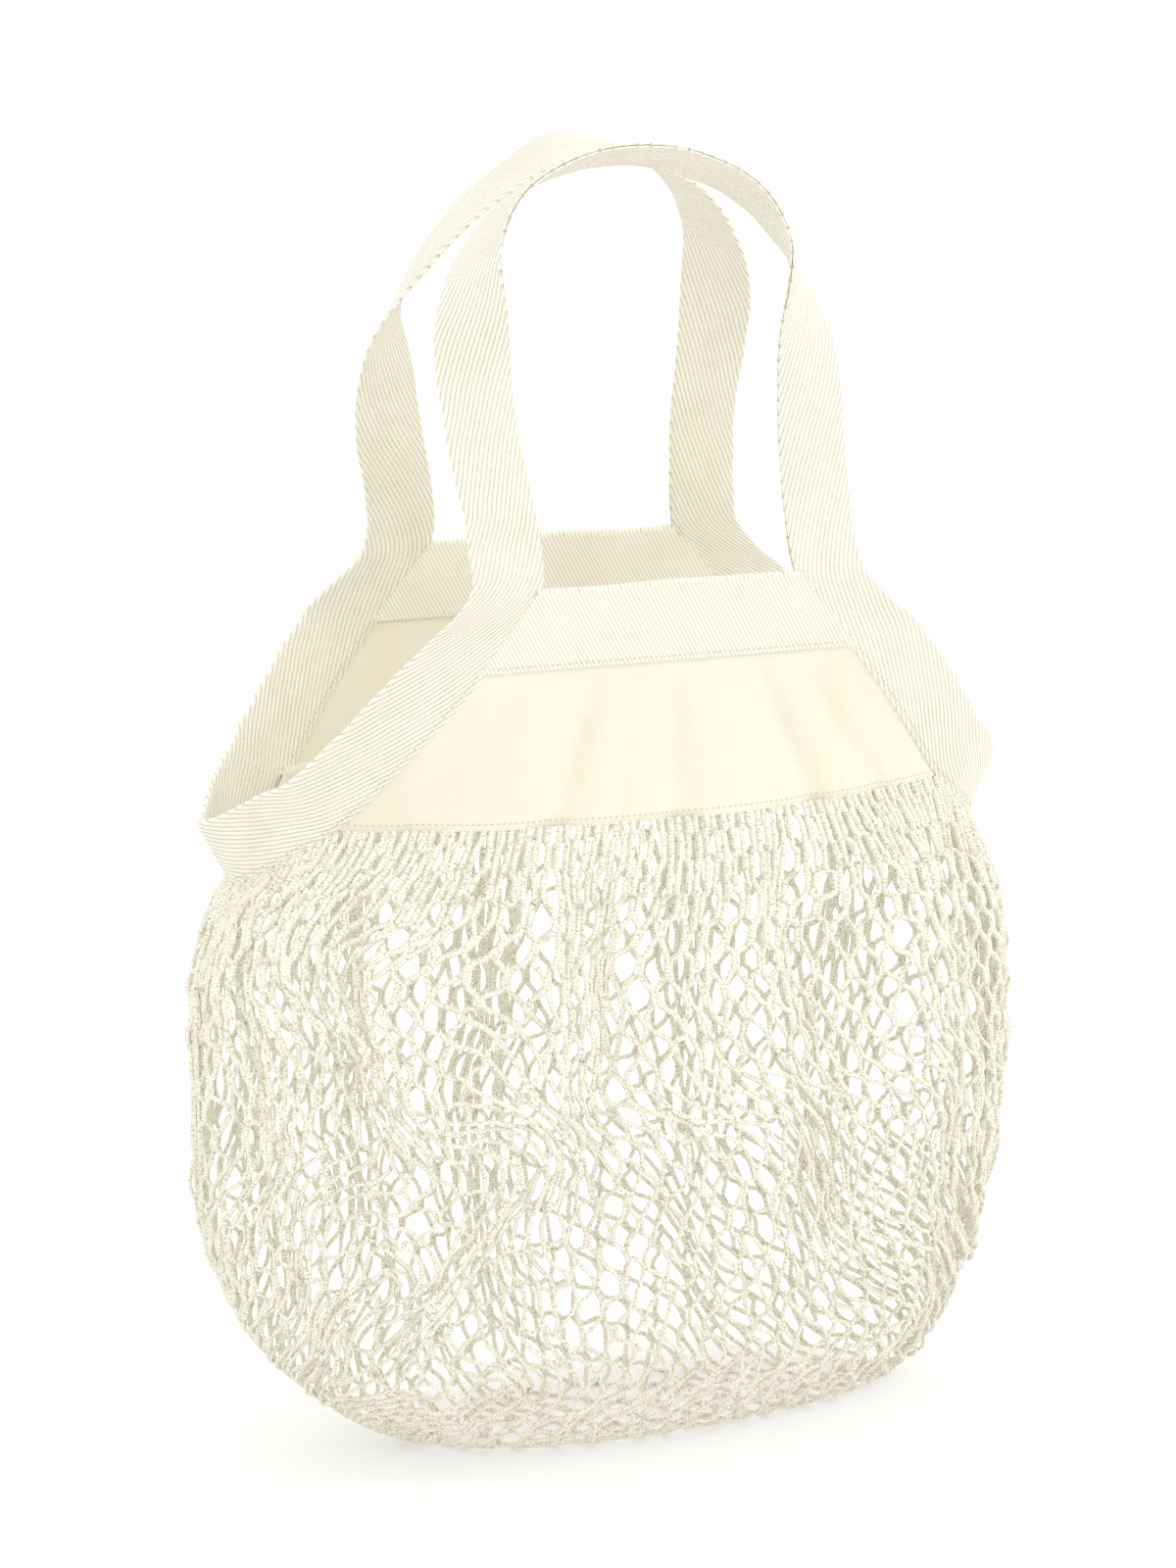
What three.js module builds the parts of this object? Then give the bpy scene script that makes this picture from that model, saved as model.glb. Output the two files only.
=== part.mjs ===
import * as THREE from 'three';

// A standing net shopper: X runs along the mouth, -Y is the front, Z is up from the floor.
// Every length is in millimetres and every angle in degrees.

// Driving sizes of the mouth, where the cloth and the net are sewn together
const hemHeight = 298;
const mouthLength = 356;
const mouthDepth = 144;
const mouthPoint = 1.2;
const mouthPointEnd = 0.25;
const sideDip = 28;

// Driving sizes of the cloth panels and the bands folded over their top edges
const panelHeight = 102;
const panelTopLength = 118;
const panelHemLength = 286;
const panelTopSpread = 134;
const panelThickness = 1.2;
const panelFlattening = 1.6;
const panelColumns = 12;
const panelRows = 6;
const bandDrop = 33;
const bandThickness = 1.2;
const bandColumns = 2;

// Driving sizes of the binding tape and the two handles that it makes
const tapeWidth = 32;
const tapeThickness = 3;
const tapeSideLean = 33;
const handleRise = 181;
const legSpread = 156;
const crestSpread = 54;
const frontHandleLean = 4;
const backHandleLean = 8;
const leanRise = 0.4;
const slantedSteps = 10;
const legSteps = 30;

// Driving sizes of the net
const netLength = 392;
const netDepth = 190;
const netThickness = 3;
const gapColumns = 16;
const gapRows = 7;
const stepsPerColumn = 4;
const netSteps = gapColumns * stepsPerColumn;
const barShare = 0.2;
const slantedBarShare = 0.15;
const gatherHeight = 22;
const gatherDepth = 2.4;
const gatherRows = 3;
const hemSteps = netSteps * 2;
const foldDepth = 9;
const foldFadeIn = 0.17;
const foldFadeOut = 0.4;
const baseGaps = 8;
const baseRimShare = 0.84;
const baseMiddleShare = 0.42;

// The space that sewn pieces keep between them
const seamGap = 0.3;

// The net's shape from the hem down to the rim of its flat base. "down" is a share of the height
// of the hem. "right" and "left" are shares of half the net's length, as its left end is rounder,
// and "deep" is a share of half its depth.
const netProfile = [
  { down: 0.07, right: 0.948, left: 0.955, deep: 0.84 },
  { down: 0.18, right: 0.990, left: 0.994, deep: 0.94 },
  { down: 0.34, right: 1.000, left: 1.000, deep: 1.00 },
  { down: 0.50, right: 0.992, left: 0.996, deep: 0.99 },
  { down: 0.64, right: 0.966, left: 0.965, deep: 0.93 },
  { down: 0.76, right: 0.928, left: 0.895, deep: 0.85 },
  { down: 0.86, right: 0.876, left: 0.785, deep: 0.74 },
  { down: 0.94, right: 0.806, left: 0.655, deep: 0.61 },
  { down: 0.985, right: 0.735, left: 0.545, deep: 0.48 },
  { down: 1.00, right: 0.655, left: 0.450, deep: 0.36 },
];

// The deep folds of the net. "turn" is the place round the bag at the fold's top, as a share of a
// full turn from the middle of the front, "drift" is how far round it wanders on its way down,
// "wide" is half its width round the bag, "top" and "end" are shares of the way down, and "depth"
// is a share of the depth of a fold, pressed inward where positive and raised where negative.
const netFolds = [
  { turn: 0.955, drift: -0.01, wide: 0.022, top: 0.0, end: 0.62, depth: 1.0 },
  { turn: 0.925, drift: -0.09, wide: 0.020, top: 0.5, end: 0.92, depth: -0.7 },
  { turn: 0.055, drift: 0.03, wide: 0.024, top: 0.0, end: 0.72, depth: 0.8 },
  { turn: 0.115, drift: 0.015, wide: 0.018, top: 0.0, end: 0.80, depth: -0.6 },
  { turn: 0.175, drift: 0.0, wide: 0.022, top: 0.05, end: 0.85, depth: 0.7 },
  { turn: 0.830, drift: 0.02, wide: 0.022, top: 0.0, end: 0.75, depth: 0.9 },
  { turn: 0.780, drift: -0.02, wide: 0.018, top: 0.1, end: 0.80, depth: -0.5 },
  { turn: 0.330, drift: 0.02, wide: 0.022, top: 0.0, end: 0.70, depth: 0.9 },
  { turn: 0.425, drift: -0.02, wide: 0.022, top: 0.0, end: 0.80, depth: 0.7 },
  { turn: 0.520, drift: 0.03, wide: 0.024, top: 0.0, end: 0.65, depth: 1.0 },
  { turn: 0.610, drift: 0.0, wide: 0.020, top: 0.0, end: 0.80, depth: 0.8 },
  { turn: 0.690, drift: -0.02, wide: 0.020, top: 0.05, end: 0.75, depth: 0.6 },
];

// One leg of a handle from the panel's top corner to the middle of the arch. "rise" is a share of
// the handle's rise, "out" a share of half the spread of the legs, and "twist" the degrees by
// which the tape has turned out of the panel's plane. The back's left leg slopes and turns over
// sooner, by "slopedOut" and "slopedTwist".
const handleLeg = [
  { rise: 0.10, out: 0.945, twist: 0, slopedOut: 0.955, slopedTwist: 0 },
  { rise: 0.22, out: 0.957, twist: 0, slopedOut: 0.975, slopedTwist: 0 },
  { rise: 0.35, out: 0.985, twist: 0, slopedOut: 1.005, slopedTwist: 6 },
  { rise: 0.47, out: 1.000, twist: 6, slopedOut: 1.025, slopedTwist: 24 },
  { rise: 0.57, out: 1.000, twist: 22, slopedOut: 1.015, slopedTwist: 56 },
  { rise: 0.65, out: 0.985, twist: 42, slopedOut: 0.945, slopedTwist: 74 },
  { rise: 0.725, out: 0.955, twist: 60, slopedOut: 0.835, slopedTwist: 82 },
  { rise: 0.79, out: 0.905, twist: 73, slopedOut: 0.720, slopedTwist: 87 },
  { rise: 0.87, out: 0.785, twist: 84, slopedOut: 0.540, slopedTwist: 91 },
  { rise: 0.93, out: 0.620, twist: 92, slopedOut: 0.350, slopedTwist: 96 },
  { rise: 0.972, out: 0.390, twist: 100, slopedOut: 0.190, slopedTwist: 101 },
  { rise: 0.995, out: 0.180, twist: 105, slopedOut: 0.080, slopedTwist: 105 },
  { rise: 1.00, out: 0.0, twist: 107, slopedOut: 0.0, slopedTwist: 107 },
];

const radians = THREE.MathUtils.degToRad;
const lerp = THREE.MathUtils.lerp;
const smooth = (value) => THREE.MathUtils.smoothstep(value, 0, 1);

// A closed solid from points and triangles, turned so that its faces point outward
function solidGeometry(points, triangles) {
  let volume = 0;
  for (const [a, b, c] of triangles) {
    volume += points[a].dot(new THREE.Vector3().crossVectors(points[b], points[c]));
  }
  const outward = volume > 0 ? triangles : triangles.map(([a, b, c]) => [a, c, b]);
  const geometry = new THREE.BufferGeometry();
  geometry.setAttribute('position', new THREE.Float32BufferAttribute(
    points.flatMap((point) => [point.x, point.y, point.z]), 3));
  geometry.setIndex(outward.flat());
  geometry.computeVertexNormals();
  return geometry;
}

// A point of a curve through the rows of a table, one column at a time
function alongTable(rows, place) {
  const last = rows.length - 1;
  const index = Math.min(Math.floor(place), last - 1);
  const share = place - index;
  const result = {};
  for (const name of Object.keys(rows[0])) {
    const at = (i) => rows[THREE.MathUtils.clamp(i, 0, last)][name];
    const [before, start, end, after] = [at(index - 1), at(index), at(index + 1), at(index + 2)];
    const leave = (end - before) / 2;
    const arrive = (after - start) / 2;
    const rise = end - start;
    result[name] = start + leave * share + (3 * rise - 2 * leave - arrive) * share ** 2
      + (leave + arrive - 2 * rise) * share ** 3;
  }
  return result;
}

// A wall of even thickness on both sides of a surface that is given as a grid of points
function wallPoints(surface, across, up, thickness) {
  const step = 1e-4;
  const point = surface(across, up);
  const alongAcross = surface(across + step, up).sub(surface(across - step, up));
  const alongUp = surface(across, up + step).sub(surface(across, up - step));
  const normal = alongAcross.cross(alongUp).normalize().multiplyScalar(thickness / 2);
  return [point.clone().add(normal), point.clone().sub(normal)];
}

// Equal steps round the bag's widest oval, as angles
const ovalAngles = (() => {
  const steps = 720;
  const lengths = [0];
  const at = (index) => {
    const angle = index / steps * 2 * Math.PI;
    return new THREE.Vector2(Math.sin(angle) * netLength, Math.cos(angle) * netDepth);
  };
  for (let index = 1; index <= steps; index += 1) {
    lengths.push(lengths[index - 1] + at(index).distanceTo(at(index - 1)));
  }
  return (turn) => {
    const whole = Math.floor(turn);
    const wanted = (turn - whole) * lengths[steps];
    let index = 1;
    while (lengths[index] < wanted) index += 1;
    const share = (wanted - lengths[index - 1]) / (lengths[index] - lengths[index - 1]);
    return (whole + (index - 1 + share) / steps) * 2 * Math.PI;
  };
})();

// The mouth: a pointed oval that dips at the two side folds
function mouthPlan(angle) {
  const side = Math.sin(angle) * mouthLength / 2;
  const front = Math.cos(angle);
  const deep = Math.sign(front) * Math.abs(front) ** mouthPoint;
  return new THREE.Vector2(side, -deep * mouthDepth / 2);
}

// The angle round the mouth at which a panel's hem ends
const cornerAngle = Math.asin(panelHemLength / mouthLength);

function mouthHeight(angle) {
  const side = Math.abs(Math.asin(Math.sin(angle)));
  const share = Math.max(0, (side - cornerAngle) / (Math.PI / 2 - cornerAngle));
  return hemHeight - sideDip * Math.sin(share * Math.PI / 2);
}

function mouthEdge(angle) {
  const plan = mouthPlan(angle);
  return new THREE.Vector3(plan.x, plan.y, mouthHeight(angle));
}

// A panel: curved at its hem and flat from the foot of its band to its straight top edge.
// "across" runs from -1 to 1 and "up" from the hem at 0 to the top edge at 1.
const bandFoot = 1 - bandDrop / panelHeight;

function panelSurface(across, up) {
  const hem = mouthEdge(Math.asin(across * panelHemLength / mouthLength));
  const flattened = 1 - (1 - THREE.MathUtils.clamp(up / bandFoot, 0, 1)) ** panelFlattening;
  return new THREE.Vector3(
    lerp(hem.x, across * panelTopLength / 2, up),
    lerp(hem.y, -panelTopSpread / 2, flattened),
    lerp(hem.z, hemHeight + panelHeight, up));
}

// The back's pieces are the front's, turned half a turn about Z
function facing(points, side) {
  return side > 0 ? points : points.map((point) => new THREE.Vector3(-point.x, -point.y, point.z));
}

// How far the cloth reaches towards the tape's sewn edge, as a share of the panel's half width
function panelReach(up) {
  const half = lerp(panelHemLength, panelTopLength, up) / 2;
  return 1 - (seamGap + tapeThickness / 2 * Math.abs(Math.sin(radians(tapeSideLean)))) / half;
}

// The triangles of a wall whose points come in outer and inner pairs, row after row
function gridWall(columns, rows) {
  const triangles = [];
  const at = (column, row, inner) => ((row * (columns + 1)) + column) * 2 + inner;
  const quad = (a, b, c, d) => triangles.push([a, b, c], [a, c, d]);
  for (let row = 0; row < rows; row += 1) {
    const above = row + 1;
    for (let column = 0; column < columns; column += 1) {
      const next = column + 1;
      quad(at(column, row, 0), at(next, row, 0), at(next, above, 0), at(column, above, 0));
      quad(at(column, row, 1), at(column, above, 1), at(next, above, 1), at(next, row, 1));
    }
    quad(at(0, row, 0), at(0, above, 0), at(0, above, 1), at(0, row, 1));
    quad(at(columns, row, 0), at(columns, row, 1), at(columns, above, 1), at(columns, above, 0));
  }
  for (let column = 0; column < columns; column += 1) {
    const next = column + 1;
    quad(at(column, 0, 0), at(column, 0, 1), at(next, 0, 1), at(next, 0, 0));
    quad(at(column, rows, 0), at(next, rows, 0), at(next, rows, 1), at(column, rows, 1));
  }
  return triangles;
}

function panelGeometry(side) {
  const levels = Array.from({ length: panelRows + 1 }, (_, row) => bandFoot * row / panelRows);
  levels.push(1);
  const points = [];
  for (const up of levels) {
    for (let column = 0; column <= panelColumns; column += 1) {
      const across = (column / panelColumns * 2 - 1) * panelReach(up);
      points.push(...wallPoints(panelSurface, across, up, panelThickness));
    }
  }
  return solidGeometry(facing(points, side), gridWall(panelColumns, levels.length - 1));
}

// The sides of a solid whose sections are joined one to the next
function sweptSections(sections) {
  const count = sections[0].length;
  const triangles = [];
  for (let index = 0; index < sections.length - 1; index += 1) {
    for (let corner = 0; corner < count; corner += 1) {
      const next = (corner + 1) % count;
      const here = index * count;
      const there = here + count;
      triangles.push([here + corner, there + corner, there + next]);
      triangles.push([here + corner, there + next, here + next]);
    }
  }
  return triangles;
}

// A band: tape folded over the panel's top edge, so its section is an upside-down U
function bandGeometry(side) {
  const inner = panelThickness / 2 + seamGap;
  const outer = inner + bandThickness;
  const topGap = seamGap / panelHeight;
  const topOuter = (seamGap + bandThickness) / panelHeight;
  const section = [
    [outer, bandFoot], [outer, 1], [inner, 1 + topOuter], [-inner, 1 + topOuter],
    [-outer, 1], [-outer, bandFoot], [-inner, bandFoot], [-inner, 1 + topGap],
    [inner, 1 + topGap], [inner, bandFoot],
  ];
  const sections = [];
  for (let column = 0; column <= bandColumns; column += 1) {
    sections.push(section.map(([offset, up]) => {
      const level = Math.min(up, 1);
      const across = (column / bandColumns * 2 - 1) * panelReach(level);
      const point = wallPoints(panelSurface, across, level, 2 * offset)[0];
      return point.add(new THREE.Vector3(0, 0, (up - level) * panelHeight));
    }));
  }
  const triangles = [...sweptSections(sections), ...bandEnds(section)];
  return solidGeometry(facing(sections.flat(), side), triangles);
}

// The two flat ends of a band, as triangles over the points of its first and last section
function bandEnds(section) {
  const outline = section.map(([offset, up]) => new THREE.Vector2(offset, up * panelHeight));
  const areaOf = (corners) => THREE.ShapeUtils.area(corners.map((index) => outline[index]));
  const turning = (corners) => Math.sign(areaOf(corners));
  const around = turning(section.map((_, index) => index));
  const last = bandColumns * section.length;
  return THREE.ShapeUtils.triangulateShape(outline, []).flatMap((corners) => {
    const [a, b, c] = turning(corners) === around ? corners : [...corners].reverse();
    return [[a, b, c], [last + a, last + c, last + b]];
  });
}

// The binding tape is a row of stations, from the right side fold up to the middle of the handle's
// arch and down again. "edge" is the sewn edge, "wide" points from it to the free edge and "along"
// is the way that the tape runs.

// The tape's width beside the panel, upright and square to the panel's slanted edge
const panelSlope = (panelHemLength - panelTopLength) / 2;
const slantedWide = new THREE.Vector3(panelHeight, 0, panelSlope).normalize();

// The way the tape faces where it runs round the mouth, from the panel's corner to the side fold:
// its free edge goes straight from the end of the slanted stretch to the fold
function sideWide(angle) {
  const lean = radians(tapeSideLean);
  const atFold = new THREE.Vector3(Math.sin(lean), 0, Math.cos(lean)).setLength(tapeWidth);
  const atCorner = slantedWide.clone().setLength(tapeWidth);
  const share = (Math.PI / 2 - angle) / (Math.PI / 2 - cornerAngle);
  const foldEnd = atFold.add(mouthEdge(Math.PI / 2));
  const cornerEnd = atCorner.add(mouthEdge(cornerAngle));
  return foldEnd.lerp(cornerEnd, share).sub(mouthEdge(angle)).normalize();
}

// The way the tape runs round the mouth, towards the panel's corner
function sideAlong(angle) {
  const step = 1e-3;
  return mouthEdge(angle - step).sub(mouthEdge(angle + step)).normalize();
}

// Round the mouth, at the same places as the net's hem
function sideStations() {
  const stations = [];
  for (let step = hemSteps / 4; ; step -= 1) {
    const angle = ovalAngles(step / hemSteps);
    if (angle <= cornerAngle) return stations;
    stations.push({ edge: mouthEdge(angle), wide: sideWide(angle), along: sideAlong(angle) });
  }
}

// Up the panel's slanted edge, where the tape turns to face sideways as it nears the handle
function slantedStations() {
  const turnStart = 0.72;
  const slackTurn = 0.3;
  const upright = new THREE.Vector3(1, 0, 0);
  return Array.from({ length: slantedSteps }, (_, index) => {
    const up = index / slantedSteps;
    const step = 1e-3;
    const turned = lerp(slackTurn * up, 1, smooth((up - turnStart) / (1 - turnStart)));
    return {
      edge: panelSurface(1, up),
      wide: slantedWide.clone().lerp(upright, turned).normalize(),
      along: panelSurface(1, up + step).sub(panelSurface(1, up - step)).normalize(),
    };
  });
}

// From the panel's top corner to the middle of the handle's arch
function legStations(out, twist, lean) {
  const corner = { rise: 0, out: (panelTopLength + tapeWidth) / legSpread, twist: 0 };
  const leg = handleLeg.map((row) => ({ rise: row.rise, out: row[out], twist: row[twist] }));
  const rows = [corner, ...leg];
  const centre = (place) => {
    const row = alongTable(rows, THREE.MathUtils.clamp(place, 0, rows.length - 1));
    return new THREE.Vector3(
      row.out * legSpread / 2 + lean * smooth(row.rise / leanRise),
      -lerp(panelTopSpread, crestSpread, row.rise) / 2,
      hemHeight + panelHeight + row.rise * handleRise);
  };
  const stations = [];
  for (let index = 1; index <= legSteps; index += 1) {
    const place = (rows.length - 1) * index / legSteps;
    const step = 0.02;
    const along = centre(place + step).sub(centre(place - step)).normalize();
    if (index === legSteps) along.set(-1, 0, 0);
    const turned = radians(alongTable(rows, place).twist);
    const back = new THREE.Vector3(0, 1, 0);
    const outward = new THREE.Vector3().crossVectors(back, along).normalize();
    const wide = outward.multiplyScalar(Math.cos(turned)).addScaledVector(back, Math.sin(turned));
    wide.sub(along.clone().multiplyScalar(wide.dot(along))).normalize();
    const edge = centre(place).sub(wide.clone().multiplyScalar(tapeWidth / 2));
    stations.push({ edge, wide, along });
  }
  return stations;
}

function mirrored({ edge, wide, along }) {
  const flip = new THREE.Vector3(-1, 1, 1);
  return {
    edge: edge.clone().multiply(flip),
    wide: wide.clone().multiply(flip),
    along: along.clone().multiply(flip).negate(),
  };
}

// The tape's section: square at the sewn edge and rounded at the fold that is its free edge
function tapeSection(station) {
  const thick = new THREE.Vector3().crossVectors(station.along, station.wide).normalize();
  const at = (width, offset) => station.edge.clone()
    .addScaledVector(station.wide, width).addScaledVector(thick, offset);
  const half = tapeThickness / 2;
  const fold = tapeWidth - half;
  return [at(0, -half), at(fold, -half), at(tapeWidth, 0), at(fold, half), at(0, half)];
}

function tapeGeometry(side) {
  const lower = [...sideStations(), ...slantedStations()];
  const lean = side > 0 ? -frontHandleLean : backHandleLean;
  const sloped = side > 0 ? ['out', 'twist'] : ['slopedOut', 'slopedTwist'];
  const right = [...lower, ...legStations(...sloped, lean)];
  const left = [...lower, ...legStations('out', 'twist', -lean)];
  const stations = [...right, ...left.slice(0, -1).reverse().map(mirrored)];
  const last = stations.length - 1;
  const sections = stations.map(tapeSection);
  for (const end of [sections[0], sections[last]]) {
    for (const point of end) point.y = -seamGap / 2;
  }
  const points = sections.flat();
  const corners = sections[0].length;
  const triangles = sweptSections(sections);
  const end = last * corners;
  for (let corner = 1; corner < corners - 1; corner += 1) {
    triangles.push([0, corner, corner + 1], [end, end + corner + 1, end + corner]);
  }
  return solidGeometry(facing(points, side), triangles);
}

// How far the net's folds press its wall inward at a place
function foldPress(turn, level) {
  let press = 0;
  for (const fold of netFolds) {
    const middle = fold.turn + fold.drift * level;
    const away = Math.abs(turn - middle - Math.round(turn - middle)) / fold.wide;
    const along = (level - fold.top) / (fold.end - fold.top);
    if (away < 1 && along > 0 && along < 1) {
      const fade = smooth(level / foldFadeIn) * smooth((1 - along) / foldFadeOut);
      press += fold.depth * (0.5 + 0.5 * Math.cos(Math.PI * away)) * fade;
    }
  }
  return press * foldDepth;
}

// A row of the net's profile: "level" is 0 at the hem and 1 at the rim of the flat base
function netRow(level) {
  const mouthShare = mouthLength / netLength;
  const hem = { down: 0, right: mouthShare, left: mouthShare, deep: mouthDepth / netDepth };
  const rows = [hem, ...netProfile];
  return alongTable(rows, THREE.MathUtils.clamp(level, 0, 1) * (rows.length - 1));
}

// The middle of the net's wall, an oval that closes in towards its base
function netSurface(turn, level) {
  const angle = ovalAngles(turn);
  const row = netRow(level);
  const right = Math.sin(angle);
  const front = Math.cos(angle);
  const pointed = lerp(mouthPoint, 1, smooth(level / mouthPointEnd));
  const out = new THREE.Vector2(
    right * (right > 0 ? row.right : row.left) * netLength / 2,
    -Math.sign(front) * Math.abs(front) ** pointed * row.deep * netDepth / 2);
  out.multiplyScalar(1 - foldPress(turn, level) / out.length());
  const top = mouthHeight(angle) - seamGap;
  return new THREE.Vector3(out.x, out.y, lerp(top, netThickness / 2, row.down));
}

// The net's top edge, face to face with the panel's hem or with the tape's sewn edge
function netTop(angle) {
  const side = Math.abs(Math.asin(Math.sin(angle)));
  const right = Math.sign(Math.sin(angle)) || 1;
  const front = Math.sign(Math.cos(angle)) || 1;
  const middle = mouthEdge(side);
  const thick = sideAlong(side);
  if (side > cornerAngle) {
    const wide = sideWide(side);
    thick.cross(wide).normalize();
    middle.addScaledVector(wide, -seamGap);
  } else {
    thick.set(thick.y, -thick.x, 0).normalize();
    middle.setZ(hemHeight - seamGap);
  }
  const flip = new THREE.Vector3(right, front, 1);
  const half = netThickness / 2;
  return [half, -half].map((away) => middle.clone().addScaledVector(thick, away).multiply(flip));
}

// The level at which the gathers under the hem end
function gatherEnd() {
  let level = 0;
  while (netRow(level).down < gatherHeight / hemHeight) level += 1e-3;
  return level;
}

// A wall of string: each corner is an inner and an outer point, kept once for all that meet there
class StringWall {
  constructor() {
    this.points = [];
    this.triangles = [];
    this.known = new Map();
  }

  corner(key, make) {
    if (!this.known.has(key)) {
      this.known.set(key, this.points.length);
      this.points.push(...make());
    }
    return this.known.get(key);
  }

  skin(a, b, c) {
    this.triangles.push([a, b, c], [a + 1, c + 1, b + 1]);
  }

  skinQuad(a, b, c, d) {
    this.skin(a, b, c);
    this.skin(a, c, d);
  }

  edge(from, to) {
    this.triangles.push([from, to, to + 1], [from, to + 1, from + 1]);
  }
}

const gatherLevel = gatherEnd();
const lastRow = (gapRows + 1) * 2;
const rowLevel = (row) => lerp(gatherLevel, 1, row / lastRow);

// A corner of the flat base
function baseCorner(place) {
  return [place.clone().setZ(netThickness), place.clone().setZ(0)];
}

// The corner at a step round the net and a half row of gaps down it
function latticeCorner(wall, step, row) {
  const place = THREE.MathUtils.euclideanModulo(step, netSteps);
  return wall.corner(`lattice ${place} ${row}`, () => {
    if (row < lastRow) {
      return wallPoints(netSurface, place / netSteps, rowLevel(row), netThickness);
    }
    return baseCorner(netSurface(place / netSteps, 1));
  });
}

// The gathered strip under the hem, pleated twice as finely as the net below it
function gatherCorner(wall, step, row) {
  const place = THREE.MathUtils.euclideanModulo(step, hemSteps);
  return wall.corner(`gather ${place} ${row}`, () => {
    if (row === 0) return netTop(ovalAngles(place / hemSteps));
    const share = row / gatherRows;
    const level = gatherLevel * share;
    const [inner, outer] = wallPoints(netSurface, place / hemSteps, level, netThickness);
    const pleat = (place % 2 ? -1 : 1) * Math.sin(Math.PI * share) * gatherDepth / 2;
    const push = outer.clone().sub(inner).normalize().multiplyScalar(pleat);
    return [inner.add(push), outer.add(push)];
  });
}

function addGathers(wall) {
  const gather = (step, row) => gatherCorner(wall, step, row);
  const lastGather = gatherRows - 1;
  for (let step = 0; step < hemSteps; step += 1) {
    const next = step + 1;
    wall.edge(gather(next, 0), gather(step, 0));
    for (let row = 0; row < lastGather; row += 1) {
      const below = row + 1;
      wall.skinQuad(gather(step, row), gather(next, row), gather(next, below), gather(step, below));
    }
  }
  for (let step = 0; step < netSteps; step += 1) {
    const [start, middle, end] = [0, 1, 2].map((more) => gather(step * 2 + more, lastGather));
    const [left, right] = [latticeCorner(wall, step, 0), latticeCorner(wall, step + 1, 0)];
    wall.skin(start, middle, left);
    wall.skin(middle, right, left);
    wall.skin(middle, end, right);
  }
}

// The staggered gaps, each with a frame of string that its neighbours share
function addGaps(wall) {
  const ring = [[0, -2], [1, -1], [2, 0], [1, 1], [0, 2], [-1, 1], [-2, 0], [-1, -1]];
  for (let gapRow = 1; gapRow <= gapRows; gapRow += 1) {
    const shift = gapRow % 2 ? 0 : stepsPerColumn / 2;
    for (let column = 0; column < gapColumns; column += 1) {
      const middle = column * stepsPerColumn + shift;
      const frame = ring.map(([across, down]) => {
        return latticeCorner(wall, middle + across, gapRow * 2 + down);
      });
      const hole = ring.map(([across, down], index) => {
        const open = 1 - (index % 2 ? slantedBarShare : barShare);
        const turn = (middle + across * open) / netSteps;
        const level = rowLevel(gapRow * 2 + down * open);
        const make = () => wallPoints(netSurface, turn, level, netThickness);
        return wall.corner(`hole ${middle} ${gapRow} ${index}`, make);
      });
      for (let index = 0; index < ring.length; index += 1) {
        const next = (index + 1) % ring.length;
        wall.skinQuad(frame[index], frame[next], hole[next], hole[index]);
        wall.edge(hole[index], hole[next]);
      }
    }
  }
}

// The string between the first or last row of gaps and the strip or base beside it
function addGapEnds(wall) {
  for (let column = 0; column < gapColumns; column += 1) {
    for (const [edge, into] of [[0, 1], [lastRow, -1]]) {
      const shift = edge === 0 || gapRows % 2 ? 0 : stepsPerColumn / 2;
      const start = column * stepsPerColumn + shift;
      const at = (across, down) => latticeCorner(wall, start + across, edge + down * into);
      const corners = [
        [at(0, 0), at(1, 0), at(1, 1)], [at(1, 0), at(2, 0), at(1, 1)],
        [at(2, 0), at(2, 2), at(1, 1)], [at(2, 0), at(3, 1), at(2, 2)],
        [at(2, 0), at(3, 0), at(3, 1)], [at(3, 0), at(4, 0), at(3, 1)],
      ];
      for (const [a, b, c] of corners) {
        if (into > 0) wall.skin(a, b, c);
        else wall.skin(a, c, b);
      }
    }
  }
}

// The flat base: a rim, a ring of long gaps between bars, and a whole middle
function addBase(wall) {
  const base = (step, ring) => {
    if (ring === 0) return latticeCorner(wall, step, lastRow);
    const place = THREE.MathUtils.euclideanModulo(step, netSteps);
    return wall.corner(`base ${place} ${ring}`, () => {
      const share = ring === 1 ? baseRimShare : baseMiddleShare;
      return baseCorner(netSurface(place / netSteps, 1).multiplyScalar(share));
    });
  };
  const gapSteps = netSteps / baseGaps;
  for (let step = 0; step < netSteps; step += 1) {
    const next = step + 1;
    wall.skinQuad(base(step, 0), base(next, 0), base(next, 1), base(step, 1));
    const place = step % gapSteps;
    if (place === 0 || place === gapSteps - 1) {
      wall.skinQuad(base(step, 1), base(next, 1), base(next, 2), base(step, 2));
    } else {
      wall.edge(base(step, 1), base(next, 1));
      wall.edge(base(next, 2), base(step, 2));
    }
    if (place === 1) wall.edge(base(step, 2), base(step, 1));
    if (place === gapSteps - 2) wall.edge(base(next, 1), base(next, 2));
  }
  const half = netSteps / 2;
  for (let step = 0; step < half; step += 1) {
    const next = step + 1;
    if (step > 0) wall.skin(base(-step, 2), base(step, 2), base(next, 2));
    if (next < half) wall.skin(base(-step, 2), base(next, 2), base(-next, 2));
  }
}

// The net: an oval wall with rows of staggered gaps, which closes in a flat base
function netGeometry() {
  const wall = new StringWall();
  addGathers(wall);
  addGaps(wall);
  addGapEnds(wall);
  addBase(wall);
  return solidGeometry(wall.points, wall.triangles);
}

// The undyed cotton of each kind of piece
function cotton(colour) {
  return new THREE.MeshStandardMaterial({ color: colour, roughness: 0.95, metalness: 0 });
}

const bag = new THREE.Group();

function addPiece(name, geometry, colour) {
  const mesh = new THREE.Mesh(geometry, cotton(colour));
  mesh.name = name;
  bag.add(mesh);
}

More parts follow.
